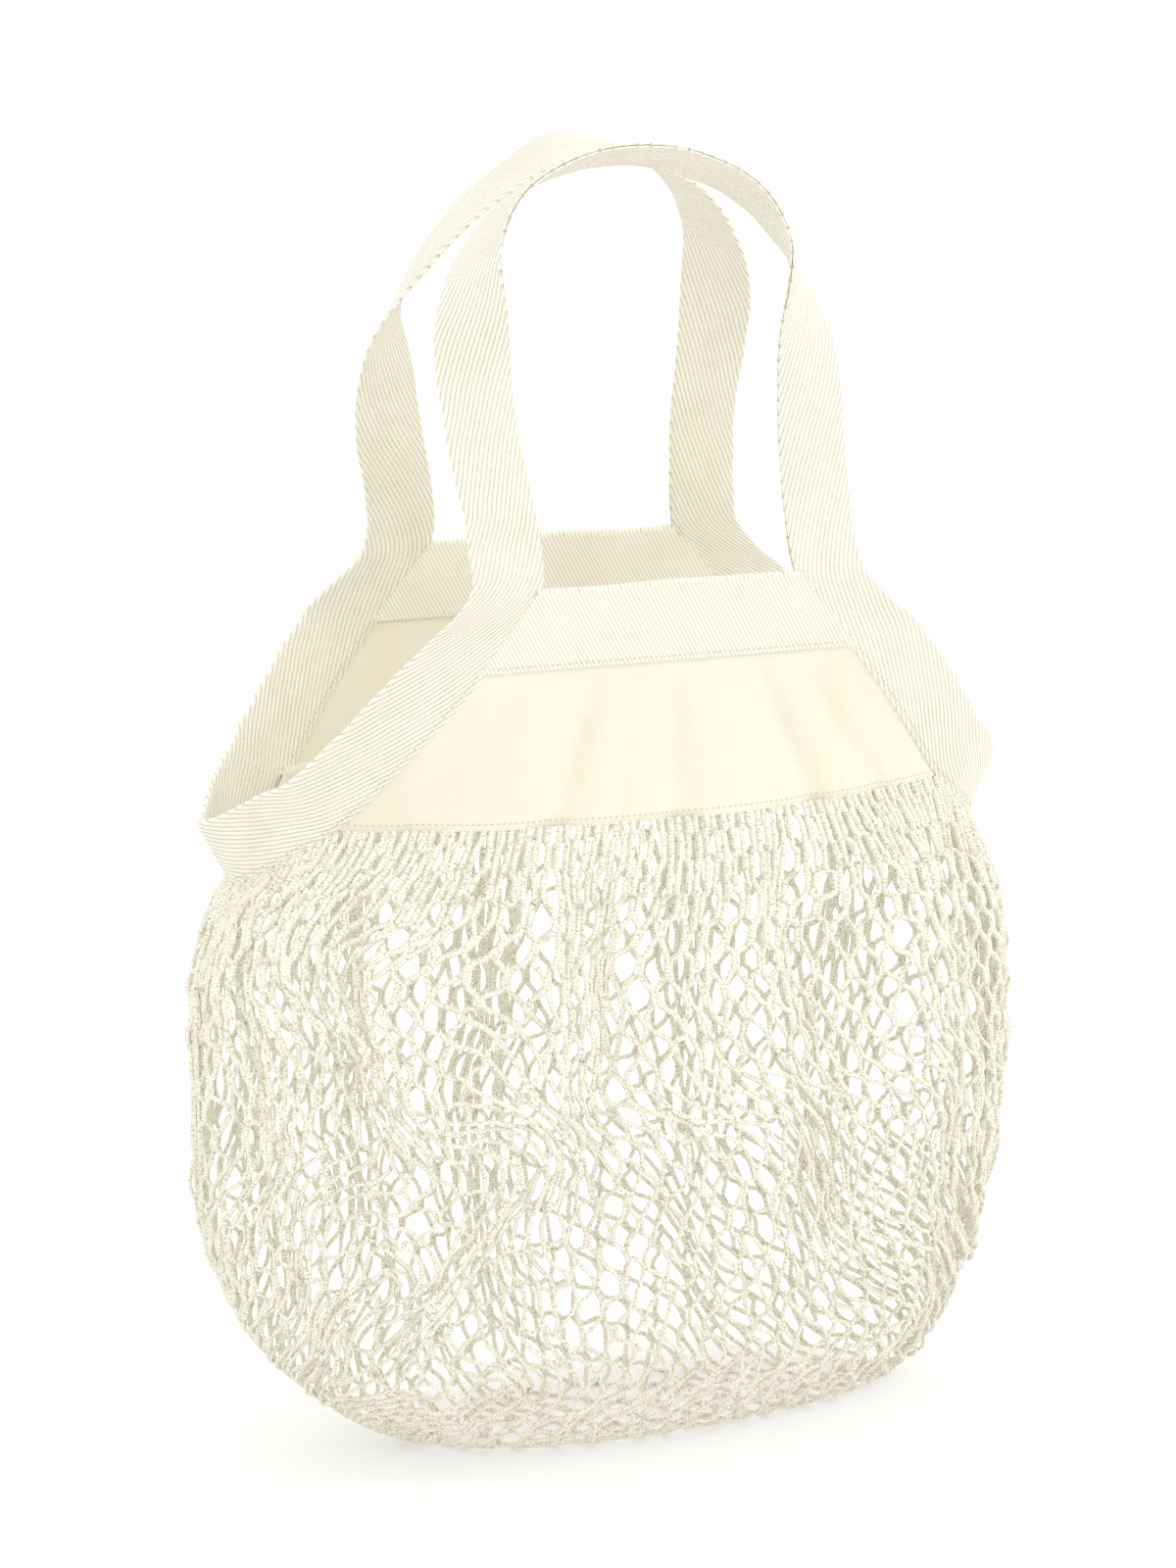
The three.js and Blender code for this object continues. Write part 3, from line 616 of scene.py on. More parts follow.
def tape_piece(name, side, finish):
    """The folded tape: two layers joined by the round fold at the free edge, with the open slit
    of the sewn edge between them."""
    edge, wide, thick, run = tape_frame(side)
    fold = tape_width - tape_thickness / 2
    flat = np.linspace(0.0007, fold, 13)
    bend = np.linspace(math.pi / 2, -math.pi / 2, 9)[1:-1]
    # Rows of a corner of the section: the way across the tape, and its place through the layers,
    # where 1 is the outer face, 0 the slit's face and -1 and -0 their like on the inner side
    across = [*flat, *(fold + tape_thickness / 2 * np.cos(bend)), *flat[::-1]]
    through = [*([1] * 13), *np.sin(bend), *([-1] * 13)]
    opening = [0] * len(across)
    across += [0.0, 0.0, 0.0006, slit_depth, slit_depth, 0.0006, 0.0, 0.0]
    through += [-0.8, -0.2, 0, 0, 0, 0, 0.2, 0.8]
    opening += [0, 0, -1, -1, 1, 1, 0, 0]
    across, through, opening = (np.array(row)[None] for row in (across, through, opening))
    last = run[-1]
    sewn_in = smooth((run - sewn_run) / sewn_fade) * smooth((last - run - sewn_run) / sewn_fade)
    gap = lerp(layer_gap, sewn_gap, sewn_in)[:, None]
    place = np.broadcast_to(run[:, None], (len(run), across.shape[1]))
    height = through * (gap + tape_layer) + opening * gap
    waves = slow_waves(place + across * 3, (0.021, 0.034, 0.055), seed=31)
    height = height + np.sign(through) * layer_wave * waves
    cup = cup_depth * slow_waves(run, (0.11, 0.19, 0.3), seed=32 + side)[:, None] * sewn_in[:, None]
    height = height + cup * (1 - (across / tape_width * 2 - 1) ** 2)
    for crease in creases if side == front else []:
        away = last - place - crease["at"] - crease["slope"] * (across - tape_width / 2)
        reach = smooth((across - crease["starts"]) / 0.008)
        height = height - crease["deep"] * np.exp(-(away / crease["wide"]) ** 2) * reach
    waves = slow_waves(place, (0.023, 0.041, 0.09), seed=33 + side)
    reach = across + across / tape_width * edge_wave * waves
    points = edge[:, None] + wide[:, None] * reach[..., None] + thick[:, None] * height[..., None]
    points[0, :, 1] = points[-1, :, 1] = -seam_gap / 2
    marks = np.stack([place * millimetres, np.broadcast_to(across, place.shape) * millimetres,
                      np.broadcast_to(through, place.shape) * 3 + side * 20], -1)
    piece = swept_piece(name, facing(points, side)[None, :, ::-1], marks[None, :, ::-1])
    node = "front_handle_tape" if side == front else "back_handle_tape"
    return finish_piece(piece, finish, "twill_tape", node)


tape_twill = twill_finish("tape_twill", rib_pitch, rib_lean, tape_relief, tape_groove_shade)
front_handle = tape_piece("front_handle", front, tape_twill)
back_handle = tape_piece("back_handle", back, tape_twill)

# The stitching.
# Cotton thread sews each panel's hem to the net, each band to its panel, and the folded tape
# along its sewn edge, in rows of short stitches that sink in at both ends.
stitch_step = 0.0027
stitch_length = 0.0016
thread_thick = 0.00055
hem_stitch_rise = 0.0026
band_stitch_rise = 0.0022
tape_stitch_in = 0.0026
stitch_arch = 0.55
stitch_sink = 0.35
tape_row_from = 0.004
tape_row_to = 0.200
thread_relief = 0.0001
# The thread's colours are darker than the cloth mostly as painted shade, where the stitches sink into their
# holes
thread_light = (0.74, 0.67, 0.50, 1)
thread_shade = (0.50, 0.43, 0.29, 1)


def stitch_row(line, outward):
    """The stitches along a line that lies on the cloth, as runs of closed sections."""
    run = tape_run(line)
    centres = np.arange(stitch_step / 2, run[-1], stitch_step)
    share = np.linspace(-1, 1, 7)
    places = centres[:, None] + share * stitch_length / 2
    middle, outward = [np.stack([np.interp(places, run, column) for column in table.T], -1)
                       for table in (line, outward)]
    along = unit(middle[:, -1:] - middle[:, :1])
    outward = unit(outward - along * np.sum(outward * along, -1, keepdims=True))
    sideways = np.cross(along, outward)
    arch = 1 - share ** 2
    middle = middle + outward * (thread_thick * (stitch_arch * arch - stitch_sink))[:, None]
    corners = 6
    round_it = np.arange(corners) / corners * 2 * math.pi
    radius = (thread_thick / 2 * np.sqrt(np.clip(1.12 - share ** 4, 0, 1)))[:, None, None]
    return middle[:, :, None] + radius * (outward[:, :, None] * np.sin(round_it)[:, None]
                                          + sideways[:, :, None] * np.cos(round_it)[:, None])


def panel_row(up, offset):
    """A row of stitches straight across a panel, at a level and a height above its middle."""
    count, reach = 400, 0.995
    across = np.linspace(-reach, reach, count)
    up, offset = np.full(count, up), np.full(count, offset)
    line = on_panel(across, up, offset)
    return stitch_row(line, unit(line - on_panel(across, up, offset - 0.001)))


def tape_rows(side):
    """The rows through the tape beside its sewn edge, seen on both of its faces."""
    edge, wide, thick, run = tape_frame(side)
    rows = []
    sewn = tape_run(edge)
    for first, last in ((tape_row_from, tape_row_to), (sewn[-1] - tape_row_to, sewn[-1] - tape_row_from)):
        part = (sewn > first) & (sewn < last)
        for face in (1, -1):
            height = face * (layer_gap + tape_layer)
            line = (edge + wide * tape_stitch_in + thick * height)[part]
            rows.append(stitch_row(line, thick[part] * face))
    return rows


def thread_finish():
    """Twisted thread with fibres along it, darker than the cloth, mostly as painted shade of the holes
    where the stitches sink in.
    """
    finish = Finish("sewing_thread", 0.85, 0.2)
    _, _, _, vector = finish.mark()
    fibre = finish.noise(vector, 0.5, 2, (1, 3, 3))
    finish.apply_colour_and_relief(finish.mix(fibre.between(0.35, 0.7), thread_light, thread_shade), fibre, thread_relief)
    return finish


sewing_thread = thread_finish()
for side, name in ((front, "front"), (back, "back")):
    band_outer = panel_thickness / 2 + band_gap + band_thickness
    rows = [panel_row(hem_stitch_rise / panel_height, panel_thickness / 2),
            panel_row(band_foot + band_stitch_rise / panel_height, band_outer),
            *tape_rows(side)]
    sections = facing(np.concatenate(rows), side)
    piece = swept_piece(f"{name}_stitching", sections, sections * millimetres)
    finish_piece(piece, sewing_thread, "twill_tape")

# The net.
# It is a tube of diamond mesh knitted from soft cotton cord, closed by a seam along its bottom.
# Its cords run in pairs where meshes meet, and it is gathered at the hem, where it is sewn in.
net_length = 0.392
net_depth = 0.190
mouth_point_end = 0.25
fold_depth = 0.009
fold_fade_in = 0.17
fold_fade_out = 0.4
cord_wide = 0.0021
cord_thick = 0.0019
cord_leg = 0.0144
taut_contact = 0.42
open_contact = 0.15
taut_rows = 4
taut_swing = 0.30
hem_swell = 0.48
net_columns = 116
seam_top = 0.42
base_spread = 0.62
base_spread_end = 0.95

# The net's shape from the hem down to the rim of its flat base, as shares of the hem's height, of
# half the net's length to the right and to the left, and of half its depth
net_profile = [
    dict(down=0.0, right=mouth_length / net_length, left=mouth_length / net_length,
         deep=mouth_depth / net_depth),
    dict(down=0.07, right=0.948, left=0.955, deep=0.84),
    dict(down=0.18, right=0.990, left=0.994, deep=0.94),
    dict(down=0.34, right=1.000, left=1.000, deep=1.00),
    dict(down=0.50, right=0.992, left=0.996, deep=0.99),
    dict(down=0.64, right=0.966, left=0.965, deep=0.93),
    dict(down=0.76, right=0.928, left=0.895, deep=0.85),
    dict(down=0.86, right=0.876, left=0.785, deep=0.74),
    dict(down=0.94, right=0.806, left=0.655, deep=0.61),
    dict(down=0.985, right=0.735, left=0.545, deep=0.48),
    dict(down=1.00, right=0.655, left=0.450, deep=0.36),
]

# The deep folds of the net: "turn" is the place round the bag at the fold's top, as a share of a
# full turn from the middle of the front, "drift" how far round it wanders on its way down, "wide"
# half its width, "top" and "end" shares of the way down, and "depth" a share of a fold's depth
net_folds = [
    dict(turn=0.955, drift=-0.01, wide=0.022, top=-1, end=0.62, depth=1.0),
    dict(turn=0.925, drift=-0.09, wide=0.020, top=0.4, end=0.92, depth=-0.7),
    dict(turn=0.055, drift=0.03, wide=0.024, top=-1, end=0.72, depth=0.8),
    dict(turn=0.115, drift=0.015, wide=0.018, top=-1, end=0.80, depth=-0.6),
    dict(turn=0.175, drift=0, wide=0.022, top=-1, end=0.85, depth=0.7),
    dict(turn=0.830, drift=0.02, wide=0.022, top=-1, end=0.75, depth=0.9),
    dict(turn=0.780, drift=-0.02, wide=0.018, top=-1, end=0.80, depth=-0.5),
    dict(turn=0.330, drift=0.02, wide=0.022, top=-1, end=0.70, depth=0.9),
    dict(turn=0.425, drift=-0.02, wide=0.022, top=-1, end=0.80, depth=0.7),
    dict(turn=0.520, drift=0.03, wide=0.024, top=-1, end=0.65, depth=1.0),
    dict(turn=0.610, drift=0, wide=0.020, top=-1, end=0.80, depth=0.8),
    dict(turn=0.690, drift=-0.02, wide=0.020, top=-1, end=0.75, depth=0.6),
]

# Where the net bunches into ropy bands, or is pulled open where "dense" is below zero. "path" has
# places (share of the way from hem to seam, turn), "wide" is half a band's width as a turn, and
# "dense" says how many more cords stand there, next to an open stretch.
net_bands = [
    dict(path=[(0.04, 0.953), (0.19, 0.949), (0.31, 0.943), (0.43, 0.932), (0.52, 0.901),
               (0.60, 0.864), (0.74, 0.835)], wide=0.015, dense=1.5),
    dict(path=[(0.05, 0.042), (0.22, 0.053), (0.36, 0.072), (0.49, 0.082), (0.66, 0.096)],
         wide=0.012, dense=1.4),
    dict(path=[(0.03, 0.150), (0.27, 0.157), (0.42, 0.176), (0.56, 0.182), (0.80, 0.200)],
         wide=0.020, dense=1.9),
    dict(path=[(0.00, 0.745), (0.10, 0.790), (0.20, 0.822), (0.28, 0.846), (0.42, 0.862)],
         wide=0.022, dense=1.8),
    dict(path=[(0.08, 0.760), (0.22, 0.786), (0.35, 0.804), (0.49, 0.812), (0.70, 0.800)],
         wide=0.014, dense=1.5),
    dict(path=[(0.34, 0.835), (0.46, 0.842), (0.60, 0.836), (0.84, 0.825)], wide=0.034, dense=-0.62),
    dict(path=[(0.55, 0.905), (0.70, 0.900), (0.90, 0.890)], wide=0.022, dense=-0.30),
    dict(path=[(0.10, 0.895), (0.25, 0.893), (0.42, 0.885), (0.50, 0.880)], wide=0.016, dense=-0.25),
    dict(path=[(0.14, 0.118), (0.30, 0.122), (0.45, 0.130)], wide=0.018, dense=-0.30),
    dict(path=[(0.06, 0.000), (0.20, 0.004), (0.34, 0.012)], wide=0.013, dense=0.7),
    dict(path=[(0.02, 0.255), (0.40, 0.248), (1.00, 0.250)], wide=0.025, dense=1.6),
    dict(path=[(0.40, 0.748), (0.70, 0.750), (1.00, 0.750)], wide=0.030, dense=1.3),
    dict(path=[(0.04, 0.330), (0.40, 0.340), (0.90, 0.345)], wide=0.018, dense=1.6),
    dict(path=[(0.04, 0.425), (0.50, 0.414), (0.95, 0.408)], wide=0.016, dense=1.4),
    dict(path=[(0.04, 0.520), (0.35, 0.531), (0.85, 0.545)], wide=0.018, dense=1.7),
    dict(path=[(0.04, 0.610), (0.50, 0.611), (0.95, 0.600)], wide=0.016, dense=1.5),
    dict(path=[(0.05, 0.690), (0.40, 0.681), (0.90, 0.672)], wide=0.016, dense=1.5),
]


def oval_angles(turn):
    """Angles for equal steps round the bag's widest oval."""
    angle = np.linspace(0, 2 * math.pi, 1441)
    places = np.stack([np.sin(angle) * net_length, np.cos(angle) * net_depth], -1)
    steps = np.concatenate([[0], np.cumsum(np.linalg.norm(np.diff(places, axis=0), axis=1))])
    whole = np.floor(turn)
    return whole * 2 * math.pi + np.interp(turn - whole, steps / steps[-1], angle)


def fold_share(fold, turn, level):
    """How much a place is in a fold, from 0 to 1."""
    away = turn - fold["turn"] - fold["drift"] * level
    away = np.clip(np.abs(away - np.round(away)) / fold["wide"], 0, 1)
    top = max(fold["top"], 0)
    along = (level - top) / (fold["end"] - top)
    fade = smooth(level / fold_fade_in) * smooth((1 - along) / fold_fade_out)
    return (0.5 + 0.5 * np.cos(math.pi * away)) * fade * smooth((level - fold["top"]) / 0.2)


def net_surface(turn, level):
    """The net's wall: level is 0 at the hem and 1 at the rim of the flat base."""
    angle = oval_angles(turn)
    names = ["down", "right", "left", "deep"]
    place = np.clip(level, 0, 1) * (len(net_profile) - 1)
    down, right, left, deep = np.moveaxis(along_table(net_profile, names, place), -1, 0)
    pointed = lerp(mouth_point, 1, smooth(level / mouth_point_end))
    ahead = np.cos(angle)
    aside = np.sin(angle)
    x = aside * np.where(aside > 0, right, left) * net_length / 2
    y = -np.sign(ahead) * np.abs(ahead) ** pointed * deep * net_depth / 2
    press = fold_depth * sum(fold["depth"] * fold_share(fold, turn, level) for fold in net_folds)
    inward = 1 - press / np.hypot(x, y)
    top = mouth_edge(angle)[..., 2]
    return np.stack([x * inward, y * inward, lerp(top, cord_thick * 0.55, down)], -1)


# The net from hem to seam as an evenly spaced grid: rows of places round the bag, and down each of
# them first the wall and then the base, in to the seam
grid_turns = 720
grid_downs = 400
seam_reach = 0.93
seam_half_width = 0.0012


def net_grid():
    """The wall and the base as one sheet of evenly spaced points."""
    turn = np.arange(grid_turns)[:, None] / grid_turns
    wall = net_surface(turn, np.linspace(0, 1, 260)[None])
    rim = wall[:, -1]
    seam = rim * np.array([seam_reach, 0, 1])
    seam[:, 1] = np.sign(rim[:, 1]) * seam_half_width
    base = lerp(rim[:, None], seam[:, None], np.linspace(0, 1, 41)[None, 1:, None])
    path = np.concatenate([wall, base], 1)
    steps = np.linalg.norm(np.diff(path, axis=1), axis=2)
    run = np.concatenate([np.zeros((grid_turns, 1)), np.cumsum(steps, 1)], 1)
    even = np.empty((grid_turns, grid_downs, 3))
    for row in range(grid_turns):
        shares = np.linspace(0, run[row, -1], grid_downs)
        for axis in range(3):
            even[row, :, axis] = np.interp(shares, run[row], path[row, :, axis])
    return even


grid = net_grid()
grid_round = unit(np.roll(grid, -2, 0) - np.roll(grid, 2, 0))
grid_down = unit(np.gradient(grid, axis=1))
grid_out = unit(np.cross(grid_down, grid_round))


def band_share(band, turn, down):
    """How much a place is in a band, from 0 to 1."""
    downs, turns = zip(*band["path"])
    away = turn - np.interp(down, downs, turns)
    away = (away - np.round(away)) / band["wide"]
    ends = smooth((down - downs[0] + 0.03) / 0.12) * smooth((downs[-1] + 0.06 - down) / 0.16)
    return np.exp(-away ** 2) * ends


def cord_density(turn, down):
    """How many cords stand at a place, next to an open stretch of the net."""
    bands = sum(band["dense"] * band_share(band, turn, down) for band in net_bands)
    density = 1 + bands * lerp(0.25, 1, smooth(down / 0.22))
    bunches = sum(np.sin(turn * 2 * math.pi * count + start)
                  for count, start in ((23, 0.4), (37, 2.1), (58, 4.4)))
    return density * (1 + 0.06 * bunches * smooth((0.3 - down) / 0.3))


def read_table(table, first, second):
    """Reads a table at shares of its first and second sides."""
    place = np.clip(first, 0, 1) * (len(table) - 1)
    left = np.minimum(np.floor(place).astype(int), len(table) - 2)
    row = np.clip(second, 0, 1) * (table.shape[1] - 1)
    top = np.minimum(np.floor(row).astype(int), table.shape[1] - 2)
    sideways, downwards = place - left, row - top
    if table.ndim == 3:
        sideways, downwards = sideways[..., None], downwards[..., None]
    above = lerp(table[left, top], table[left + 1, top], sideways)
    below = lerp(table[left, top + 1], table[left + 1, top + 1], sideways)
    return lerp(above, below, downwards)


def half_of_net(middle):
    """The front or back half of the net, as tables over its columns of meshes and its rows: the
    place in metres, the outward side, and how crowded the cords are. As many columns run on into
    the base as have room there. The others end at the seam, which comes up both sides. The last
    few next to a side have no room of their own even at the hem, and lie together down the seam."""
    turns = np.round((middle + np.linspace(-0.25, 0.25, grid_turns // 2 + 1)) * grid_turns).astype(int)
    sheet, outward = grid[turns % grid_turns], grid_out[turns % grid_turns]
    downs = np.linspace(0, 1, grid_downs)
    density = cord_density(turns[:, None] / grid_turns, downs[None])
    around = np.linalg.norm(np.diff(sheet, axis=0), axis=2)
    count = np.concatenate([np.zeros((1, grid_downs)),
                            np.cumsum((density[1:] + density[:-1]) / 2 * around, 0)])
    lengths = around.sum(0)
    top = int(seam_top * grid_downs)
    spread = lerp(1, base_spread, smooth((downs - seam_top) / (base_spread_end - seam_top)))
    taken = np.minimum(1, lengths / lengths[top] * spread) - 1e-6 * np.arange(grid_downs)
    taken = np.minimum.accumulate(taken)
    shares = np.linspace(-1, 1, 361)
    place, out, crowd = [], [], []
    for share in shares:
        end = max(np.interp(-abs(share), -taken, downs), seam_top) if abs(share) > taken[-1] else 1
        path = np.linspace(0, end, grid_downs)
        room = np.maximum(np.interp(path, downs, taken), abs(share))
        at = path * (grid_downs - 1)
        row = np.minimum(np.floor(at).astype(int), grid_downs - 2)
        wanted = 0.5 + 0.5 * share / room
        column = np.empty(grid_downs)
        for index in range(grid_downs):
            passed = lerp(count[:, row[index]], count[:, row[index] + 1], at[index] - row[index])
            column[index] = np.interp(wanted[index] * passed[-1], passed, np.arange(len(turns)))
        place.append(read_table(sheet, column / (len(turns) - 1), path))
        out.append(read_table(outward, column / (len(turns) - 1), path))
        crowd.append(read_table(density, column / (len(turns) - 1), path))
    place, out, crowd = np.array(place), unit(np.array(out)), np.array(crowd)
    pitch = np.linalg.norm(np.gradient(place, axis=0), axis=2) / (shares[1] - shares[0])
    pitch = pitch * 4 / net_columns
    height = np.sqrt(np.maximum(cord_leg ** 2 - (pitch / 2) ** 2, (cord_leg / 2) ** 2))
    steps = np.linalg.norm(np.diff(place, axis=1), axis=2)
    passed = np.concatenate([np.zeros((len(shares), 1)), np.cumsum(steps / height[:, 1:], 1)], 1)
    row_counts = passed[:, -1:]
    passed = passed / row_counts
    rows = np.linspace(0, 1, 401)
    tables = []
    for table in (place, out, crowd[..., None]):
        tables.append(np.array([[np.interp(rows, passed[column], table[column, :, part])
                                 for part in range(table.shape[2])]
                                for column in range(len(shares))]).transpose(0, 2, 1))
    return tables, row_counts[:, 0]


drift_rows = 0.16
drift_columns = 0.0016
cord_apart = 0.42
knot_shift = 0.0007
knot_rise = 0.0012
knot_lift = 0.0010
bow_shift = 0.0008
bow_lift = 0.0010
layer_lift = 0.0014
layer_columns = 2.6
twist_lift = 0.0006
hem_swell_run = 0.20


def drift(column, row, seed, counts, rows):
    """A smooth wandering over the net, about -1 to 1, that closes on itself round the bag."""
    random = np.random.default_rng(seed)
    total = 0
    for _ in range(14):
        around, down = random.integers(*counts), random.uniform(*rows)
        total = total + np.sin(2 * math.pi * (around * column + down * row) + random.uniform(0, 6.3))
    return total / 3.7


def net_cords():
    """The middle lines of all cords, and the net's outward side along them. Two cords zigzag
    between each two columns of meshes, side by side where they meet."""
    steps = 190
    (front_half, front_rows), (back_half, back_rows) = half_of_net(0), half_of_net(0.5)
    front_half.append(unit(np.gradient(front_half[0], axis=0)))
    back_half.append(unit(np.gradient(back_half[0], axis=0)))

    def row_count(column):
        """How many rows a column of meshes has, from the hem to the seam."""
        turned = (column + 0.25) % 1 * 2
        halves = [np.interp(turned - more, np.linspace(0, 1, len(rows)), rows)
                  for more, rows in ((0, front_rows), (1, back_rows))]
        return np.where(turned < 1, *halves)

    cords = np.arange(2 * net_columns)
    even = np.ceil(cords / 2) / net_columns
    odd = (np.floor(cords / 2) + 0.5) / net_columns
    last = row_count((even + odd) / 2)[:, None]
    place = last * np.linspace(0, 1, steps + 1)[None]
    row = np.floor(place).astype(int)
    within = place - row
    contact = lerp(taut_contact, open_contact, smooth((row - 1.5) / taut_rows))
    swing = smooth((within - contact) / (1 - 2 * contact))
    sign = np.where(cords % 2 == 0, 1.0, -1.0)[:, None]
    share = np.where(row % 2 == 0, swing, 1 - swing)
    random = np.random.default_rng(7)
    loose = smooth(place / 2.5) * smooth((last - place) / 2)
    share = 0.5 + (share - 0.5) * lerp(taut_swing, 1, smooth((place - 1.6) / 2.6))
    column = lerp(even[:, None], odd[:, None], share)
    side = lerp(sign, -sign, share)
    # Knots wander a little, and all that meets at a knot goes with it
    most_rows = row.max() + 2
    knots = random.normal(0, 1, (3, 2 * net_columns, most_rows))

    def at_knot(row):
        """The wandering of the knot that each cord passes at a row."""
        knot = np.where(row % 2 == 0, even[:, None], odd[:, None]) * 2 * net_columns
        return knots[:, np.round(knot).astype(int) % (2 * net_columns), row]

    wander = lerp(at_knot(row), at_knot(row + 1), swing) * loose
    calm = smooth(place / 5) * smooth((last - place) / 4)
    rows = place + calm * drift_rows * drift(column, place / last.max(), 51, (2, 14), (0, 3))
    column = column + calm * drift_columns * drift(column, place / last.max(), 52, (2, 16), (0, 4))
    rows = rows / row_count(column)
    # The front half holds the columns up to a quarter of the way round on both sides
    turned = (column + 0.25) % 1
    ahead = (turned < 0.5)[..., None]
    points, out, crowd, around = [
        np.where(ahead, read_table(first, turned * 2, rows), read_table(second, turned * 2 - 1, rows))
        for first, second in zip(front_half, back_half)]
    crowd = np.clip(crowd[..., 0] - 1, 0, 2)
    along = unit(np.cross(around, out))
    legs = np.sin(math.pi * np.clip((within - contact) / (1 - 2 * contact), 0, 1)) * loose
    bow = random.normal(0, 1, (2, len(cords), most_rows))
    bow = bow[:, np.arange(len(cords))[:, None], row] * legs
    sideways = side * cord_wide * cord_apart + wander[0] * knot_shift + bow[0] * bow_shift
    points = points + around * sideways[..., None]
    points = points + along * (wander[1] * knot_rise)[..., None]
    layers = layer_lift * crowd * np.sin(2 * math.pi * column * net_columns / layer_columns)
    twist = twist_lift * side * sign * np.cos(math.pi * place)
    lift = layers * calm + twist + wander[2] * knot_lift + bow[1] * bow_lift
    clear = np.clip((points[..., 2] - 0.002) / 0.02, 0.15, 1)
    points = points + out * (lift * clear)[..., None]
    points[..., 2] = np.maximum(points[..., 2], cord_thick * 0.5)
    return points, out


def net_piece(name, points, out, cords, finish):
    """The cords of one quarter of the net, as tubes that are a little flat."""
    corners = 6
    line, outward = points[cords], out[cords]
    along = unit(np.gradient(line, axis=1))
    outward = unit(outward - along * np.sum(outward * along, -1, keepdims=True))
    sideways = np.cross(along, outward)
    angle = np.arange(corners) / corners * 2 * math.pi
    run = np.concatenate([np.zeros((len(line), 1)),
                          np.cumsum(np.linalg.norm(np.diff(line, axis=1), axis=2), 1)], 1)
    uneven = slow_waves(run + np.arange(len(line))[:, None] * 0.37, (0.011, 0.017, 0.029), seed=41)
    thickness = 1 + 0.10 * uneven
    thickness = thickness + hem_swell * smooth(1 - run / hem_swell_run)
    sections = line[:, :, None] + thickness[..., None, None] * (
        outward[:, :, None] * (np.sin(angle) * cord_thick / 2)[:, None]
        + sideways[:, :, None] * (np.cos(angle) * cord_wide / 2)[:, None])
    shape = sections.shape[:3]
    marks = np.stack([np.broadcast_to(run[..., None] * millimetres, shape),
                      np.broadcast_to(np.abs(np.sin(angle / 2)), shape),
                      np.broadcast_to(cords[:, None, None] * 7.3, shape)], -1)
    piece = swept_piece(name, sections, marks)
    return finish_piece(piece, finish, "net_string", "net_body")


cord_light = (0.985, 0.962, 0.845, 1)
cord_shade = (0.68, 0.62, 0.45, 1)
stitch_pitch = 1.6
cord_fuzz = 0.0009
cord_shaded_pits = 0.0012
cord_cloud = 0.03
cord_relief = 0.0005


def cord_finish():
    """Chain-knitted cord: small stitches that lie in a V, with painted shade in the gaps between them and
    in small random pits.
    """
    finish = Finish("net_string", 0.9, 0.2)
    run, side, _, _ = finish.mark()
    chevron = (run + abs(side - 0.5) * 1.4) / stitch_pitch
    stitch = (chevron * (2 * math.pi)).sine() * 0.5 + 0.5
    place = finish.place()
    fuzz = finish.noise(place, cord_fuzz, 2)
    shaded_pits = finish.noise(place, cord_shaded_pits, 1)
    cloud = finish.noise(place, cord_cloud, 2)
    height = stitch * 0.8 + fuzz * 0.5
    # Painted shade: darker in the gaps between the stitches and in small random pits; the cloud is the
    # cord's own uneven tone
    painted_shade = (1 - stitch.between(0.0, 0.45)) * 0.24 + shaded_pits.between(0.54, 0.66) * 0.85
    shade_and_tone = painted_shade + cloud.between(0.4, 0.8) * 0.15
    finish.apply_colour_and_relief(finish.mix(shade_and_tone, cord_light, cord_shade), height, cord_relief)
    return finish


net_string = cord_finish()
points, out = net_cords()
quarter = net_columns // 2
cord_numbers = np.arange(2 * net_columns)
for number, name in enumerate(("front_right", "back_right", "back_left", "front_left")):
    chosen = cord_numbers[number * quarter:(number + 1) * quarter]
    net_piece(f"net_{name}", points, out, chosen, net_string)

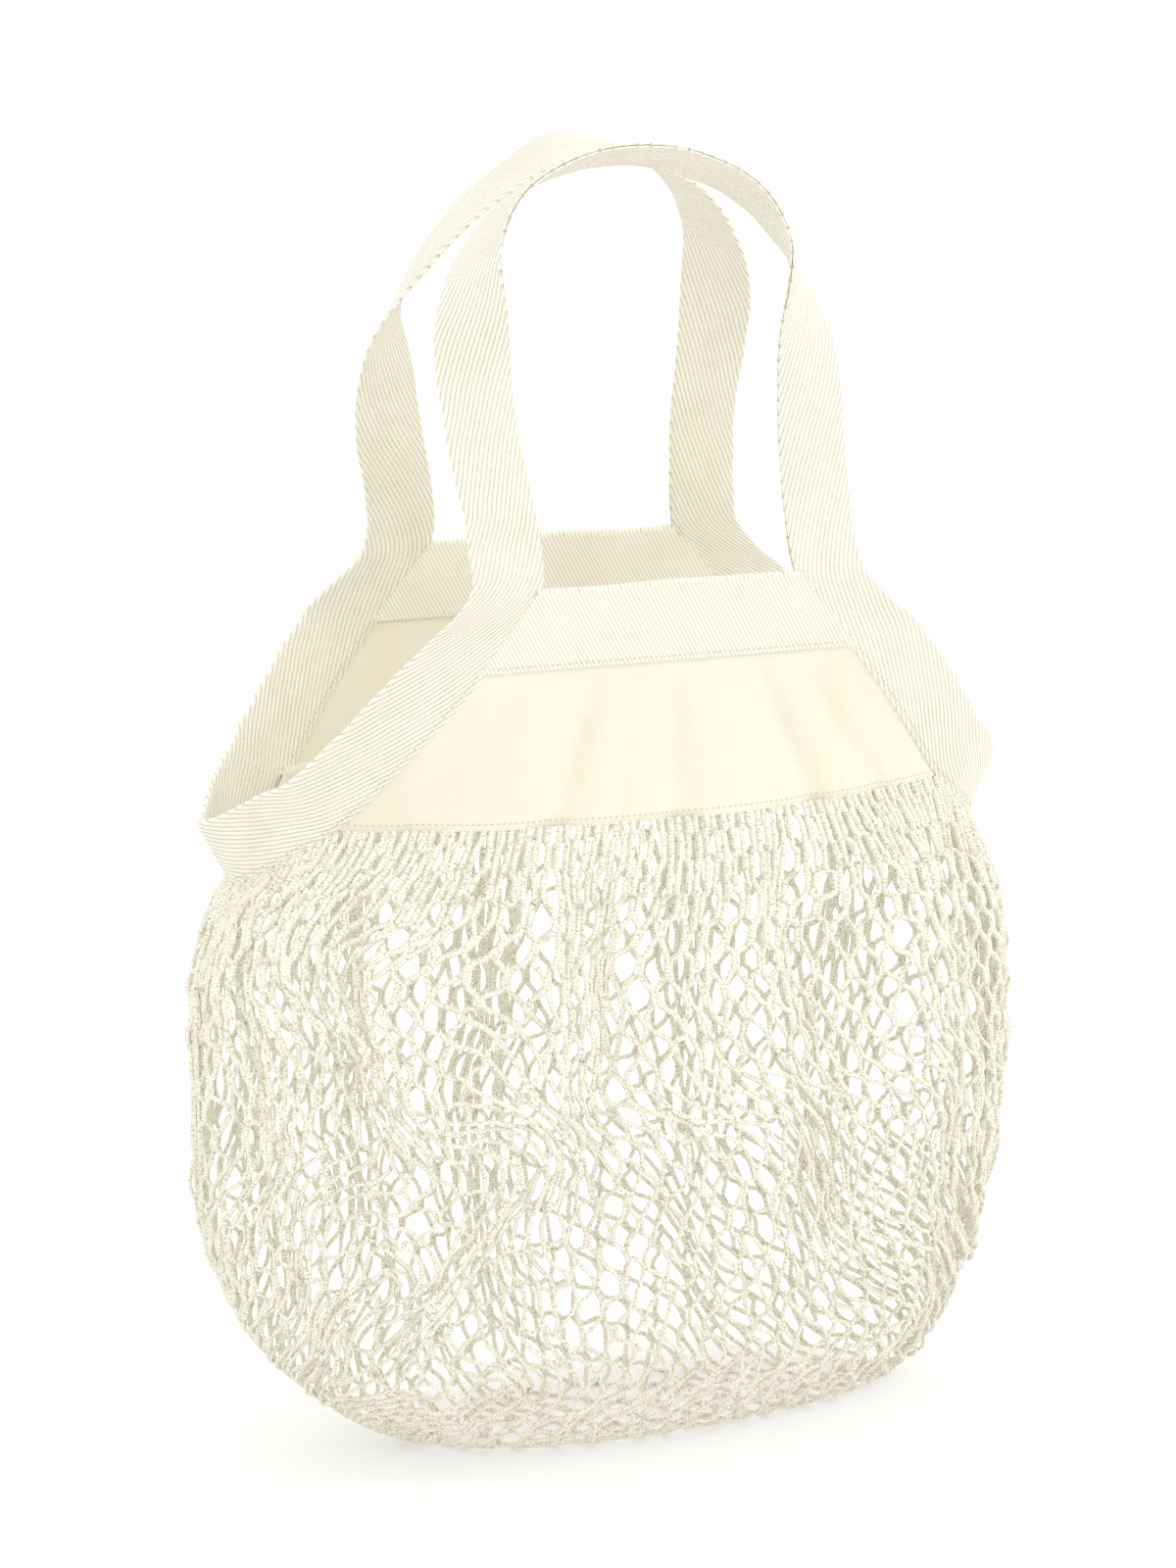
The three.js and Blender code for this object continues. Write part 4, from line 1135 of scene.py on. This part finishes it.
# The floor, light and camera.
# A plain white floor under soft studio light, seen from the front's left a little from above.
floor_half = 40
floor_tone = 0.66
floor_glow = 0.28
room_light = 1.26
key_place = np.array([1.9, -0.9, 1.5])
key_aim = np.array([0.0, 0.0, 0.25])
key_wide = 0.8
key_power = 7
camera_azimuth = math.radians(22.6)
camera_rise = math.radians(12.7)
camera_distance = 2.0
camera_aim = np.array([-0.00896, 0.00373, 0.298])
camera_lens = 102.27
camera_sensor = 36

floor_mesh = bpy.data.meshes.new("floor")
corners = [(-floor_half, -floor_half, 0), (floor_half, -floor_half, 0),
           (floor_half, floor_half, 0), (-floor_half, floor_half, 0)]
floor_mesh.from_pydata(corners, [], [(0, 1, 2, 3)])
floor = bpy.data.objects.new("floor", floor_mesh)
bpy.context.scene.collection.objects.link(floor)
floor_paint = bpy.data.materials.new("floor_paint")
floor_paint.use_nodes = True
floor_shader = floor_paint.node_tree.nodes["Principled BSDF"]
floor_shader.inputs["Base Color"].default_value = (floor_tone, floor_tone, floor_tone, 1)
floor_shader.inputs["Emission Color"].default_value = (1, 1, 1, 1)
floor_shader.inputs["Emission Strength"].default_value = floor_glow
floor_shader.inputs["Roughness"].default_value = 1.0
floor_shader.inputs["Specular IOR Level"].default_value = 0.0
floor_mesh.materials.append(floor_paint)

world = bpy.data.worlds.new("studio")
bpy.context.scene.world = world
world.use_nodes = True
world.node_tree.nodes["Background"].inputs["Color"].default_value = (1, 1, 1, 1)
world.node_tree.nodes["Background"].inputs["Strength"].default_value = room_light
bpy.context.scene.view_settings.view_transform = "Standard"

lamp = bpy.data.lights.new("key", "AREA")
lamp.size = key_wide
lamp.energy = key_power
light = bpy.data.objects.new("key", lamp)
bpy.context.scene.collection.objects.link(light)
light.location = key_place
light.rotation_euler = Vector(key_aim - key_place).to_track_quat("-Z", "Y").to_euler()

away = np.array([-math.sin(camera_azimuth) * math.cos(camera_rise),
                 -math.cos(camera_azimuth) * math.cos(camera_rise), math.sin(camera_rise)])
lens = bpy.data.cameras.new("camera")
lens.lens = camera_lens
lens.sensor_width = camera_sensor
camera = bpy.data.objects.new("camera", lens)
bpy.context.scene.collection.objects.link(camera)
camera.location = camera_aim + away * camera_distance
camera.rotation_euler = Vector(-away).to_track_quat("-Z", "Y").to_euler()
bpy.context.scene.camera = camera
